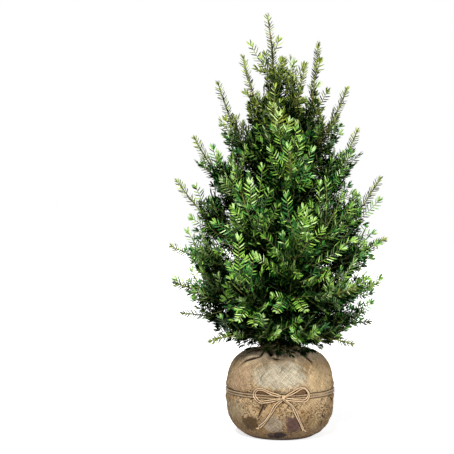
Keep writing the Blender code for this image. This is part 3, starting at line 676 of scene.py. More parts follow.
def tube(path, radii, sides, up=(0.0, 0.0, 1.0)):
    """(points, triangles) of a tube along a path, closed by a point at each end."""
    _, side, top = frames_along(path, np.array(up, float))
    turn = 2 * np.pi * np.arange(sides) / sides
    ring = np.cos(turn)[None, :, None] * top[:, None] + np.sin(turn)[None, :, None] * side[:, None]
    skin = path[:, None] + ring * np.asarray(radii)[:, None, None]
    points = np.concatenate([skin.reshape(-1, 3), path[:1], path[-1:]])
    quads = band_faces(len(path), sides)
    first, last = len(points) - 2, len(points) - 1
    i = np.arange(sides)
    ahead = (i + 1) % sides
    base = (len(path) - 1) * sides
    caps = [np.stack([i, np.full(sides, first), ahead], 1),
            np.stack([base + i, base + ahead, np.full(sides, last)], 1)]
    return points, np.concatenate([quads[:, [0, 2, 1]], quads[:, [0, 3, 2]], *caps])


def joined(parts):
    """One (points, faces) from many."""
    offsets = np.cumsum([0] + [len(points) for points, _ in parts])
    faces = [some_faces + offset for (_, some_faces), offset in zip(parts, offsets)]
    return np.concatenate([points for points, _ in parts]), np.concatenate(faces)


def loose_thread(n):
    """A thread of the frayed rim, curling away from it."""
    draw = random.Random(f"loose thread {n}")
    angle = 2 * math.pi * (n + draw.random()) / LOOSE_THREADS
    fold, high = rim_shape(np.array(angle))
    radius = MOUTH_RIM + 1.2 * float(fold)
    foot = np.array([radius * math.cos(angle), radius * math.sin(angle),
                     MOUTH_FOOT - 0.0006 + MOUTH_RISE * float(high)])
    across, back = angle + draw.uniform(-0.9, 0.9), angle + draw.uniform(-0.9, 0.9)
    out = np.array([math.cos(across), math.sin(back), 0])
    length = draw.uniform(*THREAD_LENGTHS)
    lift, droop = draw.uniform(0.1, 0.9), draw.uniform(0.2, 1.1)
    t = np.linspace(0, 1, 7)[:, None]
    path = foot + length * (out * t + np.array([0, 0, 1.0]) * (lift * t - droop * t**2))
    return tube(path, np.linspace(*THREAD_RADII, 7), 4)


rim_points, rim_rings = mouth_points()
bare_hessian = hessian_finish("hessian mouth", stained=False)
mouth = piece_from("wrapping_mouth", rim_points, band_faces(rim_rings, MOUTH_SIDES), bare_hessian)
mouth_angle = np.tile(np.linspace(0, 2 * np.pi, MOUTH_SIDES, endpoint=False), rim_rings)
mouth_along = np.repeat(np.arange(rim_rings) * MOUTH_STEP, MOUTH_SIDES)
add_uv(mouth, on_bias(mouth_angle * BALL_RADIUS * 0.5, mouth_along))
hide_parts("hessian_collar")

thread_points, thread_faces = joined([loose_thread(n) for n in range(LOOSE_THREADS)])
frayed = piece_from("frayed_threads", thread_points, thread_faces, bare_hessian)

# The twine: hairy three-strand jute, passed twice round the belly of the ball, drawn tight so that it
# bites into the cloth, and tied in front in a bow with two loops and two tails.

TWINE_RADIUS = 0.0021
TURN_RADIUS = 0.0018  # of the drawn-out twine where it is tight round the ball
TWINE_SPACING = 0.0072
TWINE_GAP = 0.0003
TWINE_LAY = 0.0125  # length of twine in which a strand goes once round
STRANDS, STRAND_SIDES = 3, 7
STRAND_OFFSET, STRAND_THICK = 0.50, 0.58  # a strand's distance from the middle and its radius, as shares
TWINE_STEP = 0.0014
BOW_RADIUS = 0.00135  # of each of the two lengths laid together in the bow
BOW_APART = 0.0027
BOW_SWING = 0.021  # length in which the two lengths turn about each other a little
TURN_HAIRS, LOOP_HAIRS, TAIL_HAIRS = 420, 90, 70
HAIR_RADII, HAIR_LENGTHS = (0.00011, 0.00005), (0.002, 0.0055)
SHADE_WIDTH, SHADE_DARK = 0.0060, 0.62
JUTE_ROUGHNESS, JUTE_SHEEN = 0.82, 0.25
JUTE_DARK, JUTE_LIGHT = (0.34, 0.215, 0.105), (0.74, 0.540, 0.325)
WORN_DARK, WORN_LIGHT = (0.185, 0.115, 0.052), (0.42, 0.295, 0.160)
# The route of each strand as (across, up from the knot, height over the cloth), in millimetres
LEFT_LOOP = [(-7, 3, 8.8), (-33, 11, 9), (-56, 20, 7), (-70, 18, 6.5), (-77, 6, 6.8)]
LEFT_LOOP += [(-72, -6, 6.8), (-60, -14, 6), (-36, -10, 7), (-7, -4, 8.8)]
RIGHT_LOOP = [(7, 3, 8.8), (28, 14, 9), (46, 23, 7), (58, 23, 6.5), (68, 12, 6.6)]
RIGHT_LOOP += [(69, 0, 7.3), (60, -10, 6.6), (40, -9, 7), (7, -4, 8.8)]
LEFT_TAIL = [(-3.6, -7.2, 7), (-20, -22, 3), (-33, -44, 2.8), (-47, -66, 2.8), (-63, -84, 3.6)]
RIGHT_TAIL = [(3.6, -7.2, 7), (24, -24, 3), (34, -42, 2.8), (44, -64, 2.8), (54, -88, 3.6)]
# Each tail and its cut end: the count of strands there, how wide they splay, their length and thickness
TAIL_ENDS = [("left", LEFT_TAIL, 16, 0.45, 0.010, 0.00055), ("right", RIGHT_TAIL, 2, 0.42, 0.013, 0.0013)]
FRONT_UP = (0.0, -1.0, 0.0)
LEVEL = np.array([1, 1, 0])  # times a point, it leaves the part that lies level


def rope(path, radius, up, closed=False):
    """Three strands laid round each other along a path, as (points, faces, places along the strand)."""
    path = evenly(path, TWINE_STEP)
    along = way_along(path)
    turns = max(1, round(along[-1] / TWINE_LAY)) if closed else along[-1] / TWINE_LAY
    _, side, top = frames_along(path, np.array(up, float))
    parts, places = [], []
    for n in range(STRANDS):
        turn = 2 * np.pi * (turns * along / along[-1] + n / STRANDS)
        aside = np.cos(turn)[:, None] * top + np.sin(turn)[:, None] * side
        middle = path + radius * STRAND_OFFSET * aside
        parts.append(tube(middle, np.full(len(middle), radius * STRAND_THICK), STRAND_SIDES, up))
        around = np.tile(np.arange(STRAND_SIDES) / STRAND_SIDES, len(path))
        way = np.concatenate([np.repeat(along, STRAND_SIDES), along[:1], along[-1:]])
        places.append(np.stack([np.concatenate([around, [0.0, 0.0]]) * 0.004 + 0.01 * n, way], axis=1))
    points, faces = joined(parts)
    return points, faces, np.concatenate(places)


def fuzz_on(path, radius, count, name):
    """Fine hairs that stand out of the twine."""
    draw = random.Random(f"fuzz {name}")
    parts = []
    for _ in range(count):
        at = draw.uniform(0.02, 0.98) * (len(path) - 1)
        k = int(at)
        foot = path[k] + (path[min(k + 1, len(path) - 1)] - path[k]) * (at - k)
        tangent = unit(path[min(k + 1, len(path) - 1)] - path[max(k - 1, 0)])
        away = np.array([draw.gauss(0, 1) for _ in range(3)])
        away = unit(away - tangent * (away @ tangent))
        if away @ (foot * LEVEL) < 0:
            away = -away
        length = draw.uniform(*HAIR_LENGTHS)
        t = np.linspace(0, 1, 4)[:, None]
        curl = tangent * draw.choice((-1, 1)) * t**2 * 0.8
        hair = foot + away * radius * 0.8 + length * (away * t + curl)
        parts.append(tube(hair, np.linspace(*HAIR_RADII, 4), 3, up=tangent + away * 0.3))
    return parts


def fibre_group():
    """Fibres that run along a strand, darker in places."""
    inputs = [("Place", "NodeSocketVector"), ("Dark", "NodeSocketColor"), ("Light", "NodeSocketColor")]
    outputs = [("Colour", "NodeSocketColor"), ("Height", "NodeSocketFloat")]
    group, w, entry, result = new_group("jute fibres", inputs, outputs)
    dark, light = entry.outputs["Dark"], entry.outputs["Light"]
    fibre = w.cloud(w.vector("MULTIPLY", entry.outputs["Place"], (2600.0, 90.0, 1.0)), 1.0, 3.0, 0.6)
    broad = w.cloud(w.node("ShaderNodeNewGeometry").outputs["Position"], 38.0, 3.0)
    colour = w.blend(w.ramp(fibre, 0.30, 0.70), dark, light)
    w.set(result.inputs["Colour"], w.blend(w.ramp(broad, 0.40, 0.65, 0.0, 0.4), colour, dark))
    w.set(result.inputs["Height"], fibre)
    return group


JUTE_FIBRES = fibre_group()


def jute_finish(name, dark, light):
    """Dull twine with a little fuzz."""
    made, w, shader = start_material(name, JUTE_ROUGHNESS, JUTE_SHEEN)
    place = w.node("ShaderNodeUVMap", uv_map="weave").outputs[0]
    fibres = add_effect(w, JUTE_FIBRES, Place=place, Dark=dark, Light=light)
    w.set(shader.inputs["Base Color"], fibres["Colour"])
    raise_relief(w, shader, fibres["Height"], 0.6, 0.0004)
    return made


jute = jute_finish("jute twine", JUTE_DARK, JUTE_LIGHT)
worn_jute = jute_finish("worn jute twine", WORN_DARK, WORN_LIGHT)


def twine_piece(name, ropes, node, hairs=(), finish=jute):
    """One piece of twine that stands for a node."""
    points, faces = joined([(p, f) for p, f, _ in ropes] + list(hairs))
    places = np.concatenate([places for _, _, places in ropes])
    places = np.concatenate([places, np.full((len(points) - len(places), 2), 0.5)])
    made = piece_from(name, points, faces, finish)
    add_uv(made, places)
    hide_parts(node)


def turn_path(height):
    """The middle line of one turn round the ball, the two drawn together at the back."""
    angle = np.linspace(0, 2 * np.pi, 361)
    front = 0.5 - 0.5 * np.sin(angle)
    z = TWINE_HEIGHT + (height - TWINE_HEIGHT) * (0.80 + 0.20 * front)
    return ring_points(ball_radius(z) + pleat(angle, z) + TURN_RADIUS + 2 * TWINE_GAP, angle, z)


def bow_path(route):
    """The middle line of a loop or a tail over the front of the ball."""
    across, up, proud = (np.array(route, float) * MM).T
    return smooth_line(on_front(across, TWINE_HEIGHT + up, proud), 60)


def doubled(path, up, apart):
    """Two thinner lengths of twine that run side by side, crossing over now and then."""
    path = evenly(path, TWINE_STEP)
    _, side, top = frames_along(path, np.array(up, float))
    along = np.arange(len(path)) * TWINE_STEP
    swing = 0.9 * np.sin(along / BOW_SWING + len(path))
    offset = np.cos(swing)[:, None] * side + np.sin(swing)[:, None] * top
    return [rope(path + hand * apart * offset, BOW_RADIUS, up) for hand in (-1, 1)]


def open_end(path, count, spread, length, thick, name):
    """The strands of a cut end, splayed apart: two go to either side, more go anywhere."""
    draw = random.Random(f"end {name}")
    foot, ahead = path[-1], unit(path[-1] - path[-4])
    t = np.linspace(0, 1, 8)[:, None]
    parts = []
    for n in range(count):
        lean = np.array([draw.uniform(-1, 1) * spread, 0.0, draw.uniform(-0.5, 0.5) * spread])
        if count == 2:
            lean = np.array([(-1, 1)[n] * spread, 0.0, 0.2 * spread])
        strand = foot + length * draw.uniform(0.7, 1.0) * (ahead * t + lean * t**1.5)
        parts.append(tube(strand, np.linspace(thick, thick * 0.6, 8), 5, up=FRONT_UP))
    return parts


def shade_under(path):
    """Darkens the cloth under and beside a length of twine that lies over the front."""
    flat = np.array([1.0, 0.0, 1.0])
    near_it = np.flatnonzero((cloth_points[:, 1] < 0) & (np.abs(cloth_points[:, 2] - 0.10) < 0.08))
    line = (evenly(path, 0.005) + (0.0006, 0.0, -0.0012)) * flat
    near, _ = nearness(cloth_points[near_it] * flat, line, SHADE_WIDTH)
    cloth_fold_shade[near_it] = np.maximum(cloth_fold_shade[near_it], SHADE_DARK * np.exp(-(near**4)))


for name, height in (("upper", TWINE_SPACING / 2), ("lower", -TWINE_SPACING / 2)):
    path = turn_path(TWINE_HEIGHT + height)
    hairs = fuzz_on(path, TURN_RADIUS, TURN_HAIRS, name)
    turn = rope(path, TURN_RADIUS, (0, 0, 1), closed=True)
    twine_piece(f"twine_{name}", [turn], f"twine_turn_{name}", hairs, worn_jute)

for name, route in (("left", LEFT_LOOP), ("right", RIGHT_LOOP)):
    path = bow_path(route)
    shade_under(path)
    twine_piece(f"bow_{name}", doubled(path, FRONT_UP, BOW_APART), f"bow_loop_{name}",
                fuzz_on(path, TWINE_RADIUS, LOOP_HAIRS, f"loop {name}"))

for name, route, count, spread, length, thick in TAIL_ENDS:
    path = bow_path(route)
    shade_under(path)
    frayed_end = open_end(path, count, spread, length, thick, name)
    twine_piece(f"tail_{name}", doubled(path, FRONT_UP, BOW_APART), f"bow_tail_{name}",
                frayed_end + fuzz_on(path, TWINE_RADIUS, TAIL_HAIRS, f"tail {name}"))

# The cloth's painted shade, with that beside the twine, goes on as its "fold" attribute
add_values(wrapping, "fold", cloth_fold_shade)

# The knot of the bow: the same jute twine, passed once and a half round the loops and tails where they
# meet, and once across them, and drawn tight against the turns round the ball.

KNOT_DROP, KNOT_PROUD = 0.001, 0.0092
KNOT_TURNS, KNOT_START, KNOT_POINTS = 1.55, -0.3, 60
KNOT_WIDTH = (-0.0030, 0.0034)
KNOT_ROUND = (0.0012, -0.0042, 0.0056)  # how far a turn reaches across, to the back and up
KNOT_TWINE, CROSSING_TWINE = TWINE_RADIUS * 0.95, TWINE_RADIUS * 0.9
KNOT_CROSSING = [(-0.0075, 0.0005, -0.004), (-0.002, -0.0042, -0.001), (0.003, -0.0040, 0.002),
                 (0.0078, 0.0005, 0.0035)]

knot_middle = on_front(np.array(0.0), np.array(TWINE_HEIGHT - KNOT_DROP), KNOT_PROUD)
knot_turn = np.linspace(KNOT_START, KNOT_TURNS * 2 * math.pi + KNOT_START, KNOT_POINTS)
knot_path = knot_middle + np.stack([
    np.linspace(*KNOT_WIDTH, KNOT_POINTS) + KNOT_ROUND[0] * np.cos(knot_turn),
    KNOT_ROUND[1] * np.cos(knot_turn),
    KNOT_ROUND[2] * np.sin(knot_turn),
], axis=1)
cross_over = smooth_line(knot_middle + np.array(KNOT_CROSSING), 20)
knot_ropes = [rope(knot_path, KNOT_TWINE, (1, 0, 0)), rope(cross_over, CROSSING_TWINE, FRONT_UP)]
twine_piece("knot", knot_ropes, "bow_knot")

# The trunk and boughs: one straight young stem with thin scaly red-brown bark, which turns orange-brown
# on the younger wood, and limbs that leave it at a steep angle all the way up.

TRUNK_TOP = 0.982
TRUNK_FOOT_RADIUS = 0.0105
TRUNK_TIP_RADIUS = 0.0030
FLARE = 0.0065
FLARE_HEIGHT = 0.018
TRUNK_SWAY, TRUNK_WAVE, TRUNK_LEAN = 0.020, 0.006, -0.018
LIMB_FOOT_RADIUS = 0.0048
LIMB_JOIN_RADIUS = 0.0027
GAP = 0.0003
TRUNK_SIDES, BOUGH_SIDES = 22, 12
TRUNK_RINGS, BOUGH_STEP = 330, 0.0022
BARK_ROUGHNESS = 0.075  # height of the bark's plates as a share of the limb's radius
BARK_DULLNESS = 0.78
BARK_CRACK = (0.030, 0.016, 0.010)
BARK_BLOOM = (0.16, 0.13, 0.085)
# Old bark, young bark, and the heights between which the one turns into the other
TRUNK_BARK = ((0.115, 0.055, 0.032), (0.34, 0.165, 0.060), 0.66, 0.94)
BOUGH_BARK = ((0.105, 0.050, 0.030), (0.20, 0.100, 0.045), 0.40, 0.80)

# Each limb: name, height of its foot on the trunk, compass angle (0 right, 90 back, 180 left, -90 front),
# reach of its tip from the axis, height of its tip, the share of its length that is a bare bough, and how
# its twigs lie: in a flat spray, or all round as a plume.
LIMBS = [
    ("right_skirt_front", 0.282, -34, 0.226, 0.268, 0.0, "spray"),
    ("right_skirt", 0.286, -4, 0.246, 0.318, 0.0, "spray"),
    ("left_skirt_front", 0.284, 216, 0.240, 0.278, 0.0, "spray"),
    ("left_skirt", 0.292, 182, 0.272, 0.342, 0.0, "spray"),
    ("front_skirt_right", 0.290, -66, 0.222, 0.286, 0.0, "spray"),
    ("front_skirt_left", 0.288, -108, 0.226, 0.292, 0.0, "spray"),
    ("back_skirt_right", 0.284, 38, 0.240, 0.287, 0.0, "spray"),
    ("back_skirt", 0.286, 86, 0.258, 0.300, 0.0, "spray"),
    ("back_skirt_left", 0.286, 136, 0.244, 0.292, 0.0, "spray"),
    ("right_low", 0.334, 12, 0.288, 0.420, 0.26, "spray"),
    ("left_low", 0.328, 192, 0.300, 0.428, 0.26, "spray"),
    ("front_fork", 0.307, -80, 0.176, 0.554, 0.36, "plume"),
    ("front_left_low", 0.338, -122, 0.262, 0.440, 0.0, "plume"),
    ("front_right_low", 0.344, -46, 0.264, 0.422, 0.0, "spray"),
    ("back_low_right", 0.342, 58, 0.284, 0.444, 0.26, "plume"),
    ("back_low_left", 0.348, 106, 0.286, 0.458, 0.26, "plume"),
    ("left_back", 0.354, 148, 0.284, 0.462, 0.0, "plume"),
    ("left_wide", 0.402, 174, 0.308, 0.527, 0.26, "spray"),
    ("right_wide", 0.406, -10, 0.288, 0.548, 0.26, "spray"),
    ("right_high", 0.472, 8, 0.288, 0.720, 0.26, "plume"),
    ("left_high", 0.482, 178, 0.290, 0.712, 0.26, "plume"),
    ("front_left_high", 0.448, -120, 0.222, 0.672, 0.0, "plume"),
    ("front_right_high", 0.462, -54, 0.226, 0.622, 0.0, "plume"),
    ("back_high_right", 0.462, 60, 0.244, 0.672, 0.0, "plume"),
    ("back_high_left", 0.482, 118, 0.240, 0.702, 0.0, "plume"),
    ("right_shoulder", 0.592, -6, 0.214, 0.850, 0.24, "plume"),
    ("left_shoulder", 0.582, 184, 0.240, 0.830, 0.24, "plume"),
    ("front_crest", 0.572, -80, 0.128, 0.774, 0.0, "plume"),
    ("back_shoulder", 0.612, 86, 0.164, 0.852, 0.0, "plume"),
    ("front_top", 0.712, -104, 0.084, 0.912, 0.0, "plume"),
    ("back_top", 0.742, 100, 0.112, 0.972, 0.0, "plume"),
    ("left_crest", 0.682, 172, 0.176, 0.988, 0.0, "plume"),
    ("right_leader", 0.622, 22, 0.120, 1.104, 0.30, "plume"),
    ("right_crest", 0.722, -22, 0.192, 0.960, 0.0, "plume"),
    ("left_top", 0.812, 194, 0.108, 1.056, 0.0, "plume"),
    ("right_top", 0.842, -36, 0.082, 1.028, 0.0, "plume"),
]


def trunk_point(z):
    """The trunk's middle at a height, on its slight sway and lean."""
    share = (z - SOIL_TOP) / (TRUNK_TOP - SOIL_TOP)
    x = TRUNK_LEAN * share + TRUNK_SWAY * math.sin(math.pi * share)
    y = TRUNK_WAVE * math.sin(2 * math.pi * share)
    return Vector((x, y, z))


def trunk_radius(z):
    share = (z - SOIL_TOP) / (TRUNK_TOP - SOIL_TOP)
    taper = TRUNK_FOOT_RADIUS + (TRUNK_TIP_RADIUS - TRUNK_FOOT_RADIUS) * share**0.9
    return taper + FLARE * math.exp(-(z - SOIL_TOP) / FLARE_HEIGHT)


def bark_normal(z, compass):
    """The direction that the bark faces at a height, on the side of a compass angle."""
    step = 0.002
    axis = (trunk_point(z + step) - trunk_point(z - step)).normalized()
    out = Vector((math.cos(math.radians(compass)), math.sin(math.radians(compass)), 0))
    out = (out - axis * out.dot(axis)).normalized()
    widening = (trunk_radius(z + step) - trunk_radius(z - step)) / (2 * step)
    return (out - axis * widening).normalized()


def limb_curve(limb):
    """The middle line of a limb from the trunk's bark to its tip, as 25 points."""
    _, foot, compass, reach, height, _, lie = limb
    angle = math.radians(compass)
    out = Vector((math.cos(angle), math.sin(angle), 0))
    start = trunk_point(foot) + bark_normal(foot, compass) * (trunk_radius(foot) + GAP)
    tip = Vector((reach * out.x, reach * out.y, height))
    rise = tip.z - start.z
    along = tip - start
    along.z = 0
    bend = start + along * 0.62
    bend.z += rise * (0.22 if lie == "plume" else 0.50) + 0.012
    return [
        (1 - t) ** 2 * start + 2 * t * (1 - t) * bend + t**2 * tip
        for t in [i / 24 for i in range(25)]
    ]


def at_share(path, share):
    """The point at a share of a path's length, by its evenly numbered points."""
    at = share * (len(path) - 1)
    k = min(int(at), len(path) - 2)
    return path[k].lerp(path[k + 1], at - k)


def part_of_path(path, low, high, count):
    return [at_share(path, low + (high - low) * i / (count - 1)) for i in range(count)]


def as_array(path):
    return np.array([tuple(p) for p in path])


def barked(path, radii, sides, up=(0.0, 1.0, 0.0)):
    """A limb's skin with the relief of its scaly bark: plates that stand out, with cracks along it."""
    points, faces = tube(path, radii, sides, up)
    skin = points[:-2].reshape(len(path), sides, 3)
    away = skin - path[:, None]
    for n in range(len(path)):
        for k in range(sides):
            spot = Vector(skin[n, k])
            spot.z *= 0.35
            plates = noise.noise(spot * 260.0) + 0.5 * noise.noise(spot * 620.0)
            knobs = noise.noise(Vector(skin[n, k]) * 70.0)
            away[n, k] *= 1 + BARK_ROUGHNESS * (plates + 0.6 * knobs)
    points[:-2] = (path[:, None] + away).reshape(-1, 3)
    return points, faces


def bark_group():
    """Scaly bark, browner low on the plant and more orange on the young wood above."""
    colour, number = "NodeSocketColor", "NodeSocketFloat"
    inputs = [("Old", colour), ("Young", colour), ("Low", number), ("High", number)]
    group, w, entry, result = new_group("scaly bark", inputs, [("Colour", colour), ("Height", number)])
    old, young, low, high = (entry.outputs[label] for label, _ in inputs)
    where = w.node("ShaderNodeNewGeometry").outputs["Position"]
    height = w.node("ShaderNodeSeparateXYZ", {"Vector": where}).outputs["Z"]
    plates = w.cloud(w.vector("MULTIPLY", where, (1.0, 1.0, 0.22)), 420.0, 4.0, 0.6)
    blooms = w.cloud(where, 60.0, 2.0)
    tint = w.blend(w.ramp(height, low, high), old, young)
    tint = w.blend(w.ramp(plates, 0.38, 0.62, 0.75, 0.0), tint, BARK_CRACK)
    tint = w.blend(w.ramp(blooms, 0.52, 0.70, 0.0, 0.35), tint, BARK_BLOOM)
    w.set(result.inputs["Colour"], tint)
    w.set(result.inputs["Height"], plates)
    return group


SCALY_BARK = bark_group()


def bark_finish(name, old, young, low, high):
    made, w, shader = start_material(name, BARK_DULLNESS)
    bark = add_effect(w, SCALY_BARK, Old=old, Young=young, Low=low, High=high)
    w.set(shader.inputs["Base Color"], bark["Colour"])
    raise_relief(w, shader, bark["Height"], 0.8, 0.0007)
    return made


trunk_heights = np.linspace(SOIL_TOP + GAP, TRUNK_TOP, TRUNK_RINGS)
trunk_path = as_array([trunk_point(z) for z in trunk_heights])
trunk_radii = [trunk_radius(z) for z in trunk_heights]
trunk_skin = barked(trunk_path, trunk_radii, TRUNK_SIDES)
trunk_piece = piece_from("trunk_bark", *trunk_skin, bark_finish("trunk bark", *TRUNK_BARK))
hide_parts("trunk")

boughs = []
bough_nodes = []
for limb in LIMBS:
    name, *_, share, lie = limb
    if share:
        bough = evenly(as_array(part_of_path(limb_curve(limb), 0.0, share, 12)), BOUGH_STEP)
        radii = np.linspace(LIMB_FOOT_RADIUS, LIMB_JOIN_RADIUS, len(bough))
        boughs.append(barked(bough, radii, BOUGH_SIDES, up=(0, 0, 1)))
        bough_nodes.append(f"bough_{name}")
bough_piece = piece_from("bough_bark", *joined(boughs), bark_finish("bough bark", *BOUGH_BARK))
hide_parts(*bough_nodes)

# The limbs' own stems: where its bough ends, or from the trunk where it has none, each limb goes on as one
# thin young stem to its tip, and the leader does so from the top of the trunk. Its bark is brown at first
# and greens towards the tip, where it is this year's wood.

LEADER_TIP = Vector((-0.0355, 0.0, 1.174))
LEADER_BOW = Vector((0.004, 0.0, 0.0))
LEADER_AGE = 0.62  # how far along from brown to green the leader's tip is
STEM_TIP_RADIUS = 0.0014
STEM_STEP, STEM_SIDES = 0.006, 6
TWIG_ROUGHNESS = 0.62
STEM_BROWNS = ((0.090, 0.042, 0.014), (0.22, 0.115, 0.034))
STEM_ORANGE, STEM_GREEN = (0.36, 0.190, 0.050), (0.185, 0.200, 0.045)


def leader_curve():
    start = trunk_point(TRUNK_TOP) + Vector((0, 0, GAP))
    return [start.lerp(LEADER_TIP, i / 12) + LEADER_BOW * math.sin(math.pi * i / 12) for i in range(13)]


def length_of(path):
    return sum((b - a).length for a, b in zip(path, path[1:]))


def mottle_group():
    """Smooth young bark, mottled with two colours."""
    inputs = [("First", "NodeSocketColor"), ("Second", "NodeSocketColor")]
    group, w, entry, result = new_group("young bark", inputs, [("Colour", "NodeSocketColor")])
    spots = w.cloud(w.node("ShaderNodeNewGeometry").outputs["Position"], 90.0, 3.0)
    mottled = w.blend(w.ramp(spots, 0.40, 0.62), entry.outputs["First"], entry.outputs["Second"])
    w.set(result.inputs["Colour"], mottled)
    return group


YOUNG_BARK = mottle_group()


def stem_finish():
    made, w, shader = start_material("limb bark", TWIG_ROUGHNESS)
    brown, light_brown = STEM_BROWNS
    colour = add_effect(w, YOUNG_BARK, First=brown, Second=light_brown)["Colour"]
    age = w.node("ShaderNodeAttribute", attribute_name="age").outputs["Fac"]
    colour = w.blend(w.ramp(age, 0.20, 0.50), colour, STEM_ORANGE)
    colour = w.blend(w.ramp(age, 0.50, 0.80), colour, STEM_GREEN)
    w.set(shader.inputs["Base Color"], colour)
    return made


# Every mass of foliage as (name, middle line of its stem, how its twigs lie, middle line of its bough)
masses = [("leader", leader_curve(), "plume", [])]
for limb in LIMBS:
    name, *_, share, lie = limb
    curve = limb_curve(limb)
    start = share + GAP / length_of(curve) if share else 0.0
    bough = part_of_path(curve, 0.0, share, 12) if share else []
    masses.append((name, part_of_path(curve, start, 1.0, 25), lie, bough))
mass_nodes = [name for name, *_ in masses]

limb_wood = []
limb_age = []
for name, stem, lie, bough in masses:
    line = evenly(as_array(stem), STEM_STEP)
    thinned = np.linspace(0, 1, len(line)) ** 0.7
    radii = LIMB_JOIN_RADIUS + (STEM_TIP_RADIUS - LIMB_JOIN_RADIUS) * thinned
    limb_wood.append(tube(line, radii, STEM_SIDES))
    age = np.linspace(0.0, 1.0, len(line)) * (LEADER_AGE if name == "leader" else 1.0)
    limb_age.append(np.concatenate([np.repeat(age, STEM_SIDES), age[:1], age[-1:]]))
limb_piece = piece_from("limb_wood", *joined(limb_wood), stem_finish())
add_values(limb_piece, "age", np.concatenate(limb_age))
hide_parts(*mass_nodes)

# The twigs and shoots, of thin green-barked wood: each limb branches into twigs, flat where it lies low and
# all round where it stands up, and those into side shoots. Short shoots fill the crown between them. All
# grow on from the limbs, keep out of other limbs' space, and end where the crown's close body does.

UP = np.array([0.0, 0.0, 1.0])
GOLDEN_ANGLE = math.radians(137.5)
SHOOT_STEP = 0.004  # between the points of a shoot's middle line
SHORTEST_TWIG = 0.014
TWIG_STEP = 0.0125
TWIG_FOOT = 0.06  # share of a stem's length below its first twig
LEADING_SHOOT = 0.100  # length at the end of each limb that has no twigs yet
LONGEST_TWIG = 0.115
TWIG_LEANS = (38, 54)  # degrees between a twig and its stem
SPRAY_LIFT, PLUME_LIFT = 0.10, 0.22  # how far twigs bend up, as shares of their length
SIDE_STEP, SIDE_SHOOT = 0.0170, 0.040  # between the side shoots of a twig, and their length
SIDE_FOOT, SIDE_STRETCH = 0.12, 0.62  # shares of a twig's length below its side shoots and along them
SIDE_LEANS, SIDE_LIFT, SHORT_LIFT = (38, 56), 0.14, 0.30
# Short shoots all round a stem: the step between them, the length of the longest, the shares of the stem's
# length that they start and end at, and their lean in degrees
LIMB_SHORTS = (0.0046, 0.078, 0.04, 0.62, 34, 60)
BOUGH_SHORTS = (0.0035, 0.090, 0.10, 1.0, 40, 65)
TRUNK_SHORTS = (0.0028, 0.105, 0.06, 0.80, 42, 66)
TWIG_RADIUS, LEADING_RADIUS, HANGING_RADIUS, SIDE_RADIUS = 0.0014, 0.0015, 0.0012, 0.0009
LIMB_SHORT_RADIUS, BOUGH_SHORT_RADIUS, TRUNK_SHORT_RADIUS = 0.0011, 0.0012, 0.0013
FORKING_RADIUS = 0.0013  # from this radius on a shoot has side shoots of its own
SHOOT_SIDES, RING_EVERY = 3, 5  # of the thin wood's skin, which has a ring at every fifth point
SHOOT_GREENS = ((0.085, 0.090, 0.022), (0.175, 0.195, 0.045))
# Room that a shoot keeps from the wood and from another limb's space, how far a side shoot may reach into
# that space, and the length of its foot that may lie beside its own wood
SPACE_MARGIN, OVERLAP, FREE_FOOT = 0.0016, 0.020, 0.016
COLLAR_TOP, COLLAR_OUTER = 0.264, 0.066
ROOM_OVER_COLLAR, ROOM_BESIDE_COLLAR, ROOM_ROUND_BALL = 0.002, 0.004, 0.008
# Radius of the crown's close body at heights, which only the strongest shoots outgrow
BODY_HEIGHTS = [0.25, 0.28, 0.32, 0.36, 0.45, 0.53, 0.62, 0.70,
                0.75, 0.80, 0.85, 0.91, 0.96, 1.00, 1.05, 1.11]
BODY_RADII = [0.110, 0.165, 0.212, 0.238, 0.250, 0.242, 0.226, 0.188,
              0.160, 0.126, 0.088, 0.056, 0.046, 0.042, 0.035, 0.012]
# Above these heights, shoots may also fill a plume of such a radius round their own limb
PLUME_HEIGHTS, PLUME_RADII = [0.68, 0.76, 0.86, 0.92, 1.00], [0.0, 0.038, 0.036, 0.022, 0.014]
STEM_BARE = 0.30  # share of a limb's stem that has no needles of its own
# Share of the shoots that are strong ones, and how much younger those and the others are
STRONG_SHARE, STRONG_YOUNGER, WEAK_YOUNGER = 0.28, 1.5, -0.7
# The tone of the short shoots' needles on a limb low and high on the plant, on a bough and on the trunk.
# Below nought it deals them darker kinds: painted shade within the crown as well as older needles.
LOW_SHORT_TONE, HIGH_SHORT_TONE, INNER_SHORT_TONE, TRUNK_SHORT_TONE = -1.0, -0.2, -1.0, -0.8
HANGING_YOUNGER, HANGING_SIDES_YOUNGER = 0.8, 0.2
TRUNK_NEEDLES_ABOVE, WARM_ABOVE = 0.84, 0.86

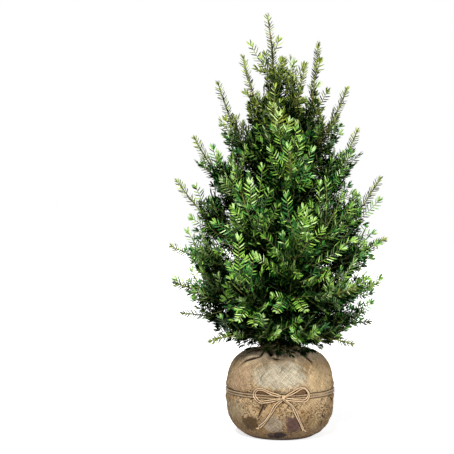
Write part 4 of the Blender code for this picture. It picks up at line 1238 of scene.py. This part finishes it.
# The strongest young shoots, which give the crown its spiky outline and its bright front: foot and tip in
# millimetres, and how much younger their needles are. Each starts on the limb that lies nearest its foot.
LEADING_SHOOTS = [
    ((-26, 0, 1072), (-5, 0, 1109), -0.1), ((-55, -10, 1006), (-83, -30, 1090), -0.1),
    ((-18, 0, 996), (-53, 30, 1063), -0.1), ((-12, 0, 985), (1, -20, 1047), -0.1),
    ((-6, 0, 968), (37, -30, 1042), -0.1), ((2, 0, 943), (66, -10, 1036), -0.1),
    ((103, 30, 1018), (113, 20, 1053), -0.3), ((20, -20, 899), (52, -50, 962), -0.3),
    ((106, 0, 889), (128, -40, 960), -0.5), ((-113, 0, 819), (-154, -20, 885), -0.5),
    ((-47, -20, 837), (-81, -60, 907), -0.3), ((13, -60, 806), (21, -100, 871), 1.2),
    ((-3, -50, 823), (-10, -90, 891), 1.4), ((-130, 0, 704), (-189, -40, 802), -0.2),
    ((-105, 20, 756), (-147, 40, 822), -0.5), ((124, -20, 703), (196, -40, 791), -0.3),
    ((113, -50, 663), (160, -100, 730), -0.4), ((-158, -20, 608), (-235, -60, 693), -0.3),
    ((147, -40, 591), (206, -80, 670), -0.4), ((189, -10, 566), (275, -20, 658), -0.4),
    ((127, 40, 637), (183, 60, 706), -0.6), ((-175, -20, 546), (-248, -50, 608), -0.4),
    ((-181, 20, 506), (-261, 40, 570), -0.5), ((-191, -50, 480), (-262, -90, 523), -0.4),
    ((179, -30, 480), (266, -60, 536), -0.5), ((183, 30, 512), (268, 50, 566), -0.5),
    ((194, -20, 401), (273, -50, 442), -0.5), ((169, -40, 358), (243, -90, 378), -0.5),
    ((-209, -20, 404), (-292, -40, 438), -0.5), ((-164, -40, 369), (-240, -80, 384), -0.5),
    ((-80, -130, 580), (-89, -170, 702), 2.0), ((-43, -150, 548), (-52, -180, 622), 1.0),
    ((43, -140, 532), (76, -190, 601), 1.3), ((12, -170, 416), (-6, -210, 481), 1.4),
    ((-38, -160, 442), (-69, -210, 502), 1.3), ((5, -140, 489), (-5, -180, 562), 1.0),
    ((-91, -150, 548), (-134, -190, 633), 1.0), ((-83, -160, 479), (-119, -200, 554), 1.0),
    ((28, -120, 558), (55, -160, 633), 0.8), ((-9, -110, 602), (-33, -150, 671), 0.8),
    ((-7, -170, 389), (-24, -250, 366), 0.7), ((38, -170, 387), (52, -240, 366), 0.7),
    ((-89, -160, 367), (-121, -230, 342), 0.7), ((-57, -160, 351), (-80, -240, 329), 0.6),
    ((-6, -150, 340), (-15, -230, 305), 0.7), ((19, -140, 328), (24, -220, 289), 0.7),
    ((61, -150, 348), (81, -230, 318), 0.6), ((30, 150, 480), (45, 225, 560), 1.0),
    ((-70, 140, 560), (-85, 200, 650), 1.0), ((80, 120, 600), (95, 180, 690), 1.0),
    ((-20, 110, 700), (-30, 160, 790), 1.0), ((-110, 130, 420), (-150, 195, 480), 0.8),
    ((120, 130, 400), (160, 195, 460), 0.8),
]
# More such shoots all over the crown, outer and inner ones: their number, where they start and end as
# shares of the body's radius, and how much younger they are. Then how far they climb at heights.
STRONG_SHOOTS = [(260, 0.62, 0.90, 1.07, -1.3, 0.4), (170, 0.22, 0.60, 0.86, -1.6, -0.4)]
STRONG_HEIGHTS, STRONG_CLIMBS = [0.30, 0.38, 0.46, 0.60], [-0.015, 0.020, 0.055, 0.085]
# How much younger the needles of these limbs are than those of the others
YOUNG_LIMBS = {"front_crest": 1.6, "front_fork": 1.3, "front_top": 0.8, "front_left_high": 0.4,
               "front_right_high": 0.2, "left_top": -0.1, "leader": -0.2, "back_shoulder": 0.8,
               "back_high_left": 0.4}
OTHER_LIMBS = -0.5
# Needles of the lowest shoots hang over the mouth of the wrapping: compass angle, reach and tip height
HANGING_SHOOTS = [(-80, 0.130, 0.238), (-66, 0.128, 0.241), (-95, 0.124, 0.245), (-50, 0.125, 0.247),
                  (-82, 0.112, 0.246), (-58, 0.120, 0.247), (-112, 0.108, 0.252), (-140, 0.118, 0.250),
                  (-30, 0.120, 0.250), (0, 0.112, 0.252), (30, 0.118, 0.248), (64, 0.110, 0.250),
                  (95, 0.118, 0.247), (128, 0.112, 0.252), (165, 0.116, 0.249), (195, 0.112, 0.252)]


def stretches(owner, path, girth=0.0):
    """A middle line as (owner, start, span, girth) of each straight stretch of it."""
    return [(owner, tuple(a), tuple(b - a), girth) for a, b in zip(path, path[1:])]


# Which limb's space a point lies in is told by the limb whose middle line is nearest. The trunk and the
# boughs have the owner "wood".
crown_lines = []
wood_heights = [SOIL_TOP + (TRUNK_TOP - SOIL_TOP) * i / 10 for i in range(11)]
for low, high in zip(wood_heights, wood_heights[1:]):
    crown_lines += stretches("wood", [trunk_point(low), trunk_point(high)], trunk_radius(low))
crown_lines += stretches("leader", part_of_path(leader_curve(), 0.0, 1.0, 7))
for limb in LIMBS:
    name, *_, share, lie = limb
    if share:
        crown_lines += stretches("wood", part_of_path(limb_curve(limb), 0.0, share, 6), LIMB_FOOT_RADIUS)
    crown_lines += stretches(name, part_of_path(limb_curve(limb), 0.0, 1.0, 9))
OWNERS, STARTS, SPANS, GIRTHS = (np.array(column) for column in zip(*crown_lines))
SQUARES = (SPANS**2).sum(1)


def off_the_ball(points):
    """True where a point is clear of the root ball and its mouth."""
    out = np.hypot(points[:, 0], points[:, 1])
    z = points[:, 2]
    by_mouth = (z < COLLAR_TOP + ROOM_OVER_COLLAR) & (out < COLLAR_OUTER + ROOM_BESIDE_COLLAR)
    over = (z > SOIL_TOP) | (out > ball_radius(np.clip(z, 0.0, SOIL_TOP)) + ROOM_ROUND_BALL)
    return over & ~by_mouth


def grown(name, path, margin, bold):
    """The first part of a path that keeps to its limb's space, or None where too little is left."""
    fine = evenly(path, SHOOT_STEP)
    offset = fine[:, None] - STARTS
    share = np.clip((offset * SPANS).sum(2) / SQUARES, 0.0, 1.0)
    distance = np.linalg.norm(offset - share[..., None] * SPANS, axis=2) - GIRTHS
    own, wood = OWNERS == name, OWNERS == "wood"
    beyond = distance[:, ~own & ~wood].min(1) - distance[:, own].min(1) if own.any() else 1.0
    stopped = (distance[:, wood].min(1) < SPACE_MARGIN) | (beyond < margin)
    stopped &= np.arange(len(fine)) * SHOOT_STEP > FREE_FOOT
    outgrown = np.hypot(fine[:, 0], fine[:, 1]) > bold * np.interp(fine[:, 2], BODY_HEIGHTS, BODY_RADII)
    if own.any():
        outgrown &= distance[:, own].min(1) > np.interp(fine[:, 2], PLUME_HEIGHTS, PLUME_RADII)
    taken = np.flatnonzero(stopped | outgrown | ~off_the_ball(fine))
    last = taken[0] - 1 if len(taken) else len(fine) - 1
    return fine[: last + 1] if SHOOT_STEP * last >= SHORTEST_TWIG else None


def grow_twigs(name, stem, lie):
    """Every twig that leaves a stem, as (number, path, up). Each draws its own numbers from its name."""
    length = length_of(stem)
    outer = max(0.55, 1 - LEADING_SHOOT / length)
    count = max(4, int(length * outer / TWIG_STEP))
    longest = min(LONGEST_TWIG, 0.30 * length + 0.030)
    found = []
    for i in range(count):
        draw = random.Random(f"{name} twig {i}")
        share = TWIG_FOOT + (outer - TWIG_FOOT) * (i + 0.5) / count
        foot = at_share(stem, share)
        tangent = (at_share(stem, share + 0.02) - at_share(stem, share - 0.02)).normalized()
        up = Vector((0, 0, 1))
        up = (up - tangent * up.dot(tangent)).normalized()
        if lie == "spray":
            turn = math.radians(90 if i % 2 else -90) + draw.uniform(-0.5, 0.5)
        else:
            turn = GOLDEN_ANGLE * i + draw.uniform(-0.3, 0.3)
        away = up * math.cos(turn) + tangent.cross(up) * math.sin(turn)
        lean = math.radians(draw.uniform(*TWIG_LEANS))
        heading = tangent * math.cos(lean) + away * math.sin(lean)
        reach = longest * (1 - 0.62 * share) * draw.uniform(0.80, 1.08)
        lift = Vector((0, 0, 1)) * reach * (SPRAY_LIFT if lie == "spray" else PLUME_LIFT)
        bend = tangent * 0.16 * reach + lift
        path = as_array([foot + heading * reach * t + bend * t**2 for t in (0, 0.25, 0.5, 0.75, 1.0)])
        found.append((i, path, np.array(away.cross(tangent) if lie == "spray" else up)))
    return found


def stem_frame(stem, share):
    """(foot, tangent, up) at a share of a stem's length."""
    at = share * (len(stem) - 1)
    k = min(int(at), len(stem) - 2)
    foot = stem[k] + (stem[k + 1] - stem[k]) * (at - k)
    tangent = unit(stem[k + 1] - stem[k])
    return foot, tangent, unit(UP - tangent * (tangent @ UP))


def leaving(foot, tangent, up, turn, lean, reach, lift):
    """The path of a shoot that leaves a stem at an angle, turned round it from its upper side.

    It bends towards the stem's tip and towards the light.
    """
    away = up * math.cos(turn) + np.cross(tangent, up) * math.sin(turn)
    heading = tangent * math.cos(lean) + away * math.sin(lean)
    t = np.linspace(0, 1, 6)[:, None]
    return foot + reach * (heading * t + (tangent * 0.15 + UP * lift) * t**2)


def side_shoots(label, twig, up):
    """The short shoots that leave both sides of a twig, each as a path."""
    length = spans_of(twig).sum()
    count = int((length - 0.016) / SIDE_STEP)
    found = []
    for j in range(count):
        draw = random.Random(f"{label} shoot {j}")
        share = SIDE_FOOT + SIDE_STRETCH * (j + 0.5) / count
        foot, tangent, _ = stem_frame(twig, share)
        turn = (math.pi / 2 if j % 2 else -math.pi / 2) + draw.uniform(-0.5, 0.5)
        lean = math.radians(draw.uniform(*SIDE_LEANS))
        reach = min(SIDE_SHOOT, 0.62 * length * (1 - 0.5 * share)) * draw.uniform(0.75, 1.15)
        flat = unit(up - tangent * (tangent @ up))
        found.append(leaving(foot, tangent, flat, turn, lean, reach, SIDE_LIFT))
    return found


def short_shoots(label, stem, step, longest, low, high, least_lean, most_lean):
    """Shoots all round a stem that fill the crown between its twigs."""
    length = spans_of(stem).sum()
    found = []
    for j in range(int(length * (high - low) / step)):
        draw = random.Random(f"{label} short {j}")
        share = low + (high - low) * (j + draw.random()) * step / (length * (high - low))
        foot, tangent, up = stem_frame(stem, min(share, high))
        lean = math.radians(draw.uniform(least_lean, most_lean))
        turn = GOLDEN_ANGLE * j + draw.uniform(-0.3, 0.3)
        reach = longest * (1 - 0.40 * share) * draw.uniform(0.55, 1.10)
        found.append(leaving(foot, tangent, up, turn, lean, reach, SHORT_LIFT))
    return found


shoots = []  # each as (path, up, needles all round, younger by, label, radius of its foot)


def sprout(owner, path, up, all_round, younger, label, radius, margin):
    """Adds a shoot where there is room for it, with side shoots of its own where it is strong."""
    draw = random.Random(f"{label} lie")
    path = grown(owner, path, margin, draw.uniform(0.80, 1.08))
    if path is None:
        return
    out = path[-1] * LEVEL
    out = out / (np.linalg.norm(out) + 1e-9)
    up = unit(UP * 0.45 + out * 0.55 + np.array([draw.uniform(-0.55, 0.55) for _ in range(3)]))
    strength = STRONG_YOUNGER if draw.random() < STRONG_SHARE else WEAK_YOUNGER
    shoots.append((path, up, all_round, younger + strength + draw.uniform(-0.3, 0.3), label, radius))
    if radius < FORKING_RADIUS:
        return
    for j, side in enumerate(side_shoots(label, path, up)):
        sprout(owner, side, up, False, younger - 0.6, f"{label} shoot {j}", SIDE_RADIUS, -OVERLAP)


for name, stem, lie, bough in masses:
    line = as_array(stem)
    dressed = evenly(line, STEM_STEP)
    if name != "leader":
        dressed = dressed[int(len(dressed) * STEM_BARE) :]
    side = np.cross(UP, unit(dressed[-1] * LEVEL))
    shoots.append((dressed, side, True, YOUNG_LIMBS.get(name, OTHER_LIMBS), f"{name} stem", 0.0))
    if name == "leader":
        continue
    for number, path, up in grow_twigs(name, stem, lie):
        steep = (path[-1] - path[0])[2] / np.linalg.norm(path[-1] - path[0]) > 0.75
        sprout(name, path, up, steep, 0.0, f"{name} twig {number}", TWIG_RADIUS, SPACE_MARGIN)
    for j, path in enumerate(short_shoots(name, line, *LIMB_SHORTS)):
        younger = HIGH_SHORT_TONE if path[-1][2] > WARM_ABOVE else LOW_SHORT_TONE
        sprout(name, path, UP, False, younger, f"{name} short {j}", LIMB_SHORT_RADIUS, -OVERLAP)
    if bough:
        for j, path in enumerate(short_shoots(name, as_array(bough), *BOUGH_SHORTS)):
            label = f"{name} inner {j}"
            sprout(name, path, UP, False, INNER_SHORT_TONE, label, BOUGH_SHORT_RADIUS, -OVERLAP)

upper_trunk = trunk_path[trunk_path[:, 2] > TRUNK_NEEDLES_ABOVE]
shoots.append((upper_trunk, UP + 0.02, True, 0.3, "upper trunk", 0.0))
for j, path in enumerate(short_shoots("trunk", trunk_path, *TRUNK_SHORTS)):
    label = f"trunk short {j}"
    sprout("trunk", path, UP, False, TRUNK_SHORT_TONE, label, TRUNK_SHORT_RADIUS, -OVERLAP)


def strong_shoots():
    """(foot, tip, younger by) of shoots dealt out evenly all over the crown."""
    found = []
    levels = np.linspace(0.285, 0.98, 200)
    widths = np.interp(levels, BODY_HEIGHTS, BODY_RADII)
    for depth, (many, start, least, most, low, high) in enumerate(STRONG_SHOOTS):
        for n in range(many):
            draw = random.Random(f"strong {depth} {n}")
            z = np.interp((n + 0.5) / many, np.cumsum(widths) / widths.sum(), levels)
            climb = np.interp(z, STRONG_HEIGHTS, STRONG_CLIMBS) * draw.uniform(0.8, 1.25)
            turn = GOLDEN_ANGLE * n + draw.uniform(-0.2, 0.2)
            reach = np.interp(z + climb, BODY_HEIGHTS, BODY_RADII) * draw.uniform(least, most)
            inner = np.interp(z, BODY_HEIGHTS, BODY_RADII) * start
            foot = np.array([inner * math.cos(turn), inner * math.sin(turn), z])
            turn += draw.uniform(-0.15, 0.15)
            tip = np.array([reach * math.cos(turn), reach * math.sin(turn), z + climb])
            found.append((foot, tip, draw.uniform(low, high)))
    return found


def with_side_shoots(path, forked, up, younger, side_younger, label, radius):
    """Adds a shoot that grows whole, with side shoots along its forked part."""
    shoots.append((path, up, False, younger, label, radius))
    for j, side in enumerate(side_shoots(label, forked, up)):
        side = evenly(side, SHOOT_STEP)
        shoots.append((side, up, False, side_younger, f"{label} shoot {j}", SIDE_RADIUS))


stems = [evenly(as_array(list(bough) + list(stem)), SHOOT_STEP) for _, stem, _, bough in masses]
stems = np.concatenate(stems + [trunk_path[trunk_path[:, 2] > 0.5]])
leading = [(np.array(foot) / 1000, np.array(tip) / 1000, younger) for foot, tip, younger in LEADING_SHOOTS]
for n, (foot, tip, younger) in enumerate(leading + strong_shoots()):
    start = stems[np.linalg.norm(stems - foot, axis=1).argmin()]
    t = np.linspace(0, 1, 12)[:, None]
    sagging = np.cross(tip - start, np.cross(UP, tip - start))
    sagging = sagging / np.linalg.norm(sagging) * np.linalg.norm(tip - start) * -0.05
    path = evenly(start + (tip - start) * t + sagging * np.sin(np.pi * t), SHOOT_STEP)
    up = unit(tip * LEVEL) + UP * 0.4
    if n < len(leading) and tip[1] < 0.1:
        up = np.array([0.0, -1.0, 0.4])
    forked = path[: len(path) * 3 // 5]
    with_side_shoots(path, forked, unit(up), younger, younger - 0.8, f"leading {n}", LEADING_RADIUS)

for n, (compass, reach, height) in enumerate(HANGING_SHOOTS):
    out = np.array([math.cos(math.radians(compass)), math.sin(math.radians(compass)), 0.0])
    start = np.array(trunk_point(0.288)) + out * 0.010
    marks = [start, start + out * 0.030 + UP * 0.006, out * 0.078 + UP * 0.277, out * reach + UP * height]
    path = evenly(smooth_line(marks, 14), SHOOT_STEP)
    label = f"hanging {n}"
    with_side_shoots(path, path, UP, HANGING_YOUNGER, HANGING_SIDES_YOUNGER, label, HANGING_RADIUS)

shoot_wood = []
for path, up, _, _, _, radius in shoots:
    if radius:
        line = np.concatenate([path[:-1:RING_EVERY], path[-1:]])
        shoot_wood.append(tube(line, np.linspace(radius, radius * 0.6, len(line)), SHOOT_SIDES, up))
shoot_finish, w, shader = start_material("green shoot bark", TWIG_ROUGHNESS)
dark_green, green = SHOOT_GREENS
w.set(shader.inputs["Base Color"], add_effect(w, YOUNG_BARK, First=dark_green, Second=green)["Colour"])
shoot_piece = piece_from("shoot_wood", *joined(shoot_wood), shoot_finish)
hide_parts(*mass_nodes)

# The needles: flat, soft and leathery, rooted in the bark in two ranks along the shoots and all round on
# the limbs' own stems, with a bunch at each tip. Painted shade makes them near black within the crown;
# they are deep green on it, lighter where more light is painted on, and yellow-green where they are young.

NEEDLE_LENGTH = 0.0190
NEEDLE_WIDTH = 0.0037
NEEDLE_PITCH = 0.0047
# Share of that pitch on a limb's own stem and on another shoot that has them all round
STEM_PITCH, ROUND_PITCH = 0.66, 1.15
STEM_NEEDLES = 0.86  # length of a stem's own needles as a share of the others'
FIRST_NEEDLE, LAST_NEEDLE = 0.003, 0.002  # from a shoot's foot, and from its tip
TIP_LEAN, SIDE_LEAN = 24, 40  # degrees between a needle and its shoot at the tip, and what is added below
TIP_STRETCH = 0.022  # length of a shoot's end in which needles shorten and close up
# How unevenly needles stand: along the shoot in pitches, round it and in their lean, in radians and degrees
UNEVEN_PITCH, UNEVEN_TURN, UNEVEN_LEAN = 0.15, 0.16, 6
RANKS_RISE = 0.24  # how far the two ranks stand up from flat, in radians
ROUND_FACING, FLAT_FACING = 0.50, 0.36  # how unevenly needles face
SWEEPS = (0.15, 0.40)  # how far needles bend towards the tip, as shares of their length
SIZES = (0.85, 1.10)
TIP_BUNCH = np.array([0.0060, 0.0045, 0.0032, 0.0022, 0.0012, 0.0005, 0.0])  # places before a shoot's tip
LIGHT_REACH = 0.55  # metres of shoots that dim the light to a third
CONE_START, CONE_END, CONE_FOOT, CONE_SPREAD = 0.010, 0.16, 0.022, 0.25
LIGHT_OUTWARD, LIGHT_UPWARD = 3.2, 0.62
PAINTED_LIGHT_STEPS = 3.5  # how many kinds brighter the painted light makes needles in full light than those in the dark
AGE_SPREAD = 1.15
COOL_SHARE = 0.34
# Colours of the needles, a scale of painted shade and light as well as of age: from the painted shade
# within the crown to the newest tips, whose colour is also whitened as a painted highlight. Each has the
# upper side and the paler underside. Some sprays are of a bluer green, and the limbs' stems and the
# crown's top of a yellower one.
NEEDLE_KINDS = [
    ("shade", (0.0002, 0.0025, 0.0002), (0.0004, 0.003, 0.0004)),
    ("old", (0.0008, 0.009, 0.0006), (0.0015, 0.011, 0.0015)),
    ("mature", (0.008, 0.036, 0.002), (0.016, 0.042, 0.007)),
    ("green", (0.050, 0.140, 0.012), (0.075, 0.150, 0.034)),
    ("fresh", (0.155, 0.335, 0.036), (0.190, 0.340, 0.085)),
    ("young", (0.305, 0.515, 0.082), (0.345, 0.515, 0.150)),
    ("tip", (0.500, 0.690, 0.290), (0.530, 0.680, 0.340)),
    ("cool_mature", (0.004, 0.036, 0.005), (0.012, 0.043, 0.014)),
    ("cool_green", (0.022, 0.130, 0.016), (0.042, 0.138, 0.038)),
    ("cool_fresh", (0.090, 0.310, 0.050), (0.125, 0.315, 0.098)),
    ("warm_green", (0.090, 0.130, 0.012), (0.110, 0.135, 0.030)),
    ("warm_fresh", (0.200, 0.275, 0.028), (0.220, 0.275, 0.060)),
    ("warm_young", (0.360, 0.440, 0.070), (0.380, 0.440, 0.120)),
]
KIND_NAMES = [label for label, _, _ in NEEDLE_KINDS]
NEEDLE_ROUGHNESS = 0.34
GLOSS, WORN_GLOSS = 0.30, 0.02
# A needle's outline as (share of its length, share of its width, lift as a share of its width): its
# foot, two places on either edge, and its tip. It is folded along its midrib, from foot to tip.
BLADE = np.array([
    (0.00, 0.00, -0.08), (0.20, -0.44, 0.08), (0.20, 0.44, 0.08), (0.74, -0.40, 0.06), (0.74, 0.40, 0.06),
    (1.00, 0.00, -0.10),
])
BLADE_FACES = np.array([(0, 2, 4), (0, 4, 5), (0, 5, 3), (0, 3, 1)])
MOST_TRIANGLES = 190_000  # in one piece


def open_light():
    """How much light reaches each shoot, from 0 to 1, by the length of the shoots in its way.

    Those are in its way whose middle lies in a cone that opens outwards and upwards from its own.
    """
    spots = np.array([path[len(path) * 3 // 5] for path, *_ in shoots])
    middles = np.array([path[len(path) // 2] for path, *_ in shoots])
    lengths = np.array([SHOOT_STEP * len(path) for path, *_ in shoots])
    toward = units(spots * LEVEL * LIGHT_OUTWARD + np.array([0, 0, LIGHT_UPWARD]))
    found = np.empty(len(spots))
    for start in range(0, len(spots), 400):
        part = slice(start, start + 400)
        rel = middles[None] - spots[part, None]
        along = (rel * toward[part, None]).sum(2)
        aside = np.sqrt(np.maximum((rel**2).sum(2) - along**2, 0.0))
        hides = (along > CONE_START) & (along < CONE_END) & (aside < CONE_FOOT + CONE_SPREAD * along)
        found[part] = (hides * lengths).sum(1)
    # High on the plant the shoots in the way count for less, so the top is painted lighter
    return np.exp(-found * np.interp(spots[:, 2], [0.60, 0.95], [1.0, 0.40]) / LIGHT_REACH)


def recoloured(kinds, first, last, start):
    """Kinds from the first to the last named one, changed for as many from another one on."""
    first, last, start = (KIND_NAMES.index(label) for label in (first, last, start))
    return np.where((kinds >= first) & (kinds <= last), kinds - first + start, kinds)


def dress(path, up, all_round, tone, label):
    """Rows of needles along a shoot: foot, heading, facing, sweep, length and kind of each."""
    on_limb = label.endswith("stem")
    number = random.Random(label).getrandbits(31)
    dice = np.random.default_rng(number)
    along = way_along(path)
    total = along[-1]

    def place(marks):
        return np.stack([np.interp(marks, along, path[:, k]) for k in range(3)], axis=1)

    if all_round:
        pitch = NEEDLE_PITCH * (STEM_PITCH if on_limb else ROUND_PITCH)
        marks = np.repeat(np.arange(FIRST_NEEDLE, total - LAST_NEEDLE, pitch), 2)
    else:
        marks = np.arange(FIRST_NEEDLE, total - LAST_NEEDLE, NEEDLE_PITCH)
    marks = marks + dice.uniform(-UNEVEN_PITCH, UNEVEN_PITCH, len(marks)) * NEEDLE_PITCH
    marks = np.concatenate([marks, total - TIP_BUNCH])
    count = len(marks)
    order = np.arange(count)
    past_first = np.maximum(marks, SHOOT_STEP)
    tangents = units(place(past_first) - place(past_first - SHOOT_STEP))
    ups = units(up - tangents * (tangents @ up)[:, None])
    sides = np.cross(tangents, ups)
    to_tip = np.clip((total - marks) / TIP_STRETCH, 0.0, 1.0)
    rank = np.where(order % 2, 1.0, -1.0)
    if all_round:
        turn = np.where(order // 2 % 2, rank * np.pi / 2, (rank + 1) * np.pi / 2)
        turn = turn + dice.normal(0, UNEVEN_TURN, count)
    else:
        turn = rank * (np.pi / 2 - np.abs(dice.normal(RANKS_RISE, UNEVEN_TURN, count)))
    away = np.cos(turn)[:, None] * ups + np.sin(turn)[:, None] * sides
    swing = np.radians(TIP_LEAN + SIDE_LEAN * to_tip**0.6 + dice.normal(0, UNEVEN_LEAN, count))
    headings = units(np.cos(swing)[:, None] * tangents + np.sin(swing)[:, None] * away)
    if all_round:
        flat = np.abs(np.sin(turn))[:, None]
        facings = 0.7 * flat * ups + 0.4 * tangents + dice.normal(0, ROUND_FACING, (count, 3))
    else:
        facings = ups + 0.25 * tangents + dice.normal(0, FLAT_FACING, (count, 3))
    facings = units(facings - headings * (facings * headings).sum(1)[:, None])
    sweeps = tangents * dice.uniform(*SWEEPS, (count, 1)) - 0.03 * ups
    from_foot = np.clip(marks / 0.016, 0.0, 1.0)
    sizes = NEEDLE_LENGTH * (0.70 + 0.30 * from_foot) * (0.68 + 0.32 * to_tip**0.8)
    sizes = sizes * dice.uniform(*SIZES, count) * (STEM_NEEDLES if on_limb else 1.0)
    # The kind of each needle: its shoot's tone, painted light and shade together with age, younger near the
    # tip, spread at random, and darker towards the foot of a long shoot, painted shade there as well as age
    near_tip = np.clip((total - marks) / 0.030, 0.0, 1.0)
    age = np.maximum(tone, 0.1) + (1 - near_tip) ** 1.3 * np.clip(0.2 + 0.25 * tone, 0.0, 1.0)
    age = age + dice.normal(0, AGE_SPREAD, count) + 0.25
    age = age - 1.2 * np.clip((total - marks - 0.020) / 0.080, 0.0, 1.0)
    kinds = np.clip(np.round(age), 0, KIND_NAMES.index("tip"))
    if on_limb or path[-1, 2] > WARM_ABOVE:
        kinds = recoloured(kinds, "green", "young", "warm_green")
    elif number % 1000 < 1000 * COOL_SHARE:
        kinds = recoloured(kinds, "mature", "fresh", "cool_mature")
    return np.column_stack([place(marks), headings, facings, sweeps, sizes, kinds])


def needle_mesh(rows):
    """(points, faces) of all the needles of one kind."""
    feet, headings, facings, sweeps = rows[:, 0:3], rows[:, 3:6], rows[:, 6:9], rows[:, 9:12]
    lengths = rows[:, 12]
    across = np.cross(headings, facings)
    widths = NEEDLE_WIDTH * (0.78 + 0.22 * lengths / NEEDLE_LENGTH)
    share, wide, lift = BLADE.T
    points = feet[:, None] + headings[:, None] * (lengths[:, None] * share)[..., None]
    points = points + across[:, None] * (widths[:, None] * wide)[..., None]
    points = points + facings[:, None] * (widths[:, None] * lift)[..., None]
    points = points + sweeps[:, None] * (lengths[:, None] * share**2)[..., None]
    faces = BLADE_FACES[None] + (np.arange(len(rows)) * len(BLADE))[:, None, None]
    return points.reshape(-1, 3), faces.reshape(-1, 3)


def needle_finish(kind, upper, under):
    """Leathery blade, slightly glossy, and paler beneath. The oldest have lost their gloss."""
    made, w, shader = start_material(f"needle {kind}", NEEDLE_ROUGHNESS)
    shader.inputs["Specular IOR Level"].default_value = WORN_GLOSS if kind in ("shade", "old") else GLOSS
    back = w.node("ShaderNodeNewGeometry").outputs["Backfacing"]
    w.set(shader.inputs["Base Color"], w.blend(back, upper, under))
    return made


needle_rows = []
# Each shoot's tone: painted light and shade by the light that reaches it, together with its age
for (path, up, all_round, younger, label, _), light in zip(shoots, open_light()):
    tone = PAINTED_LIGHT_STEPS * light + younger * (0.35 + 0.65 * light)
    needle_rows.append(dress(path, up, all_round, tone, label))
needle_rows = np.concatenate(needle_rows)

for kind, (label, upper, under) in enumerate(NEEDLE_KINDS):
    rows = needle_rows[needle_rows[:, 13].astype(int) == kind]
    finish = needle_finish(label, upper, under)
    most = MOST_TRIANGLES // len(BLADE_FACES)
    for part in range(0, len(rows), most):
        points, faces = needle_mesh(rows[part : part + most])
        made = piece_from(f"needles_{label}_{part // most + 1}", points, faces, finish, smooth=False)
        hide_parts(*mass_nodes)
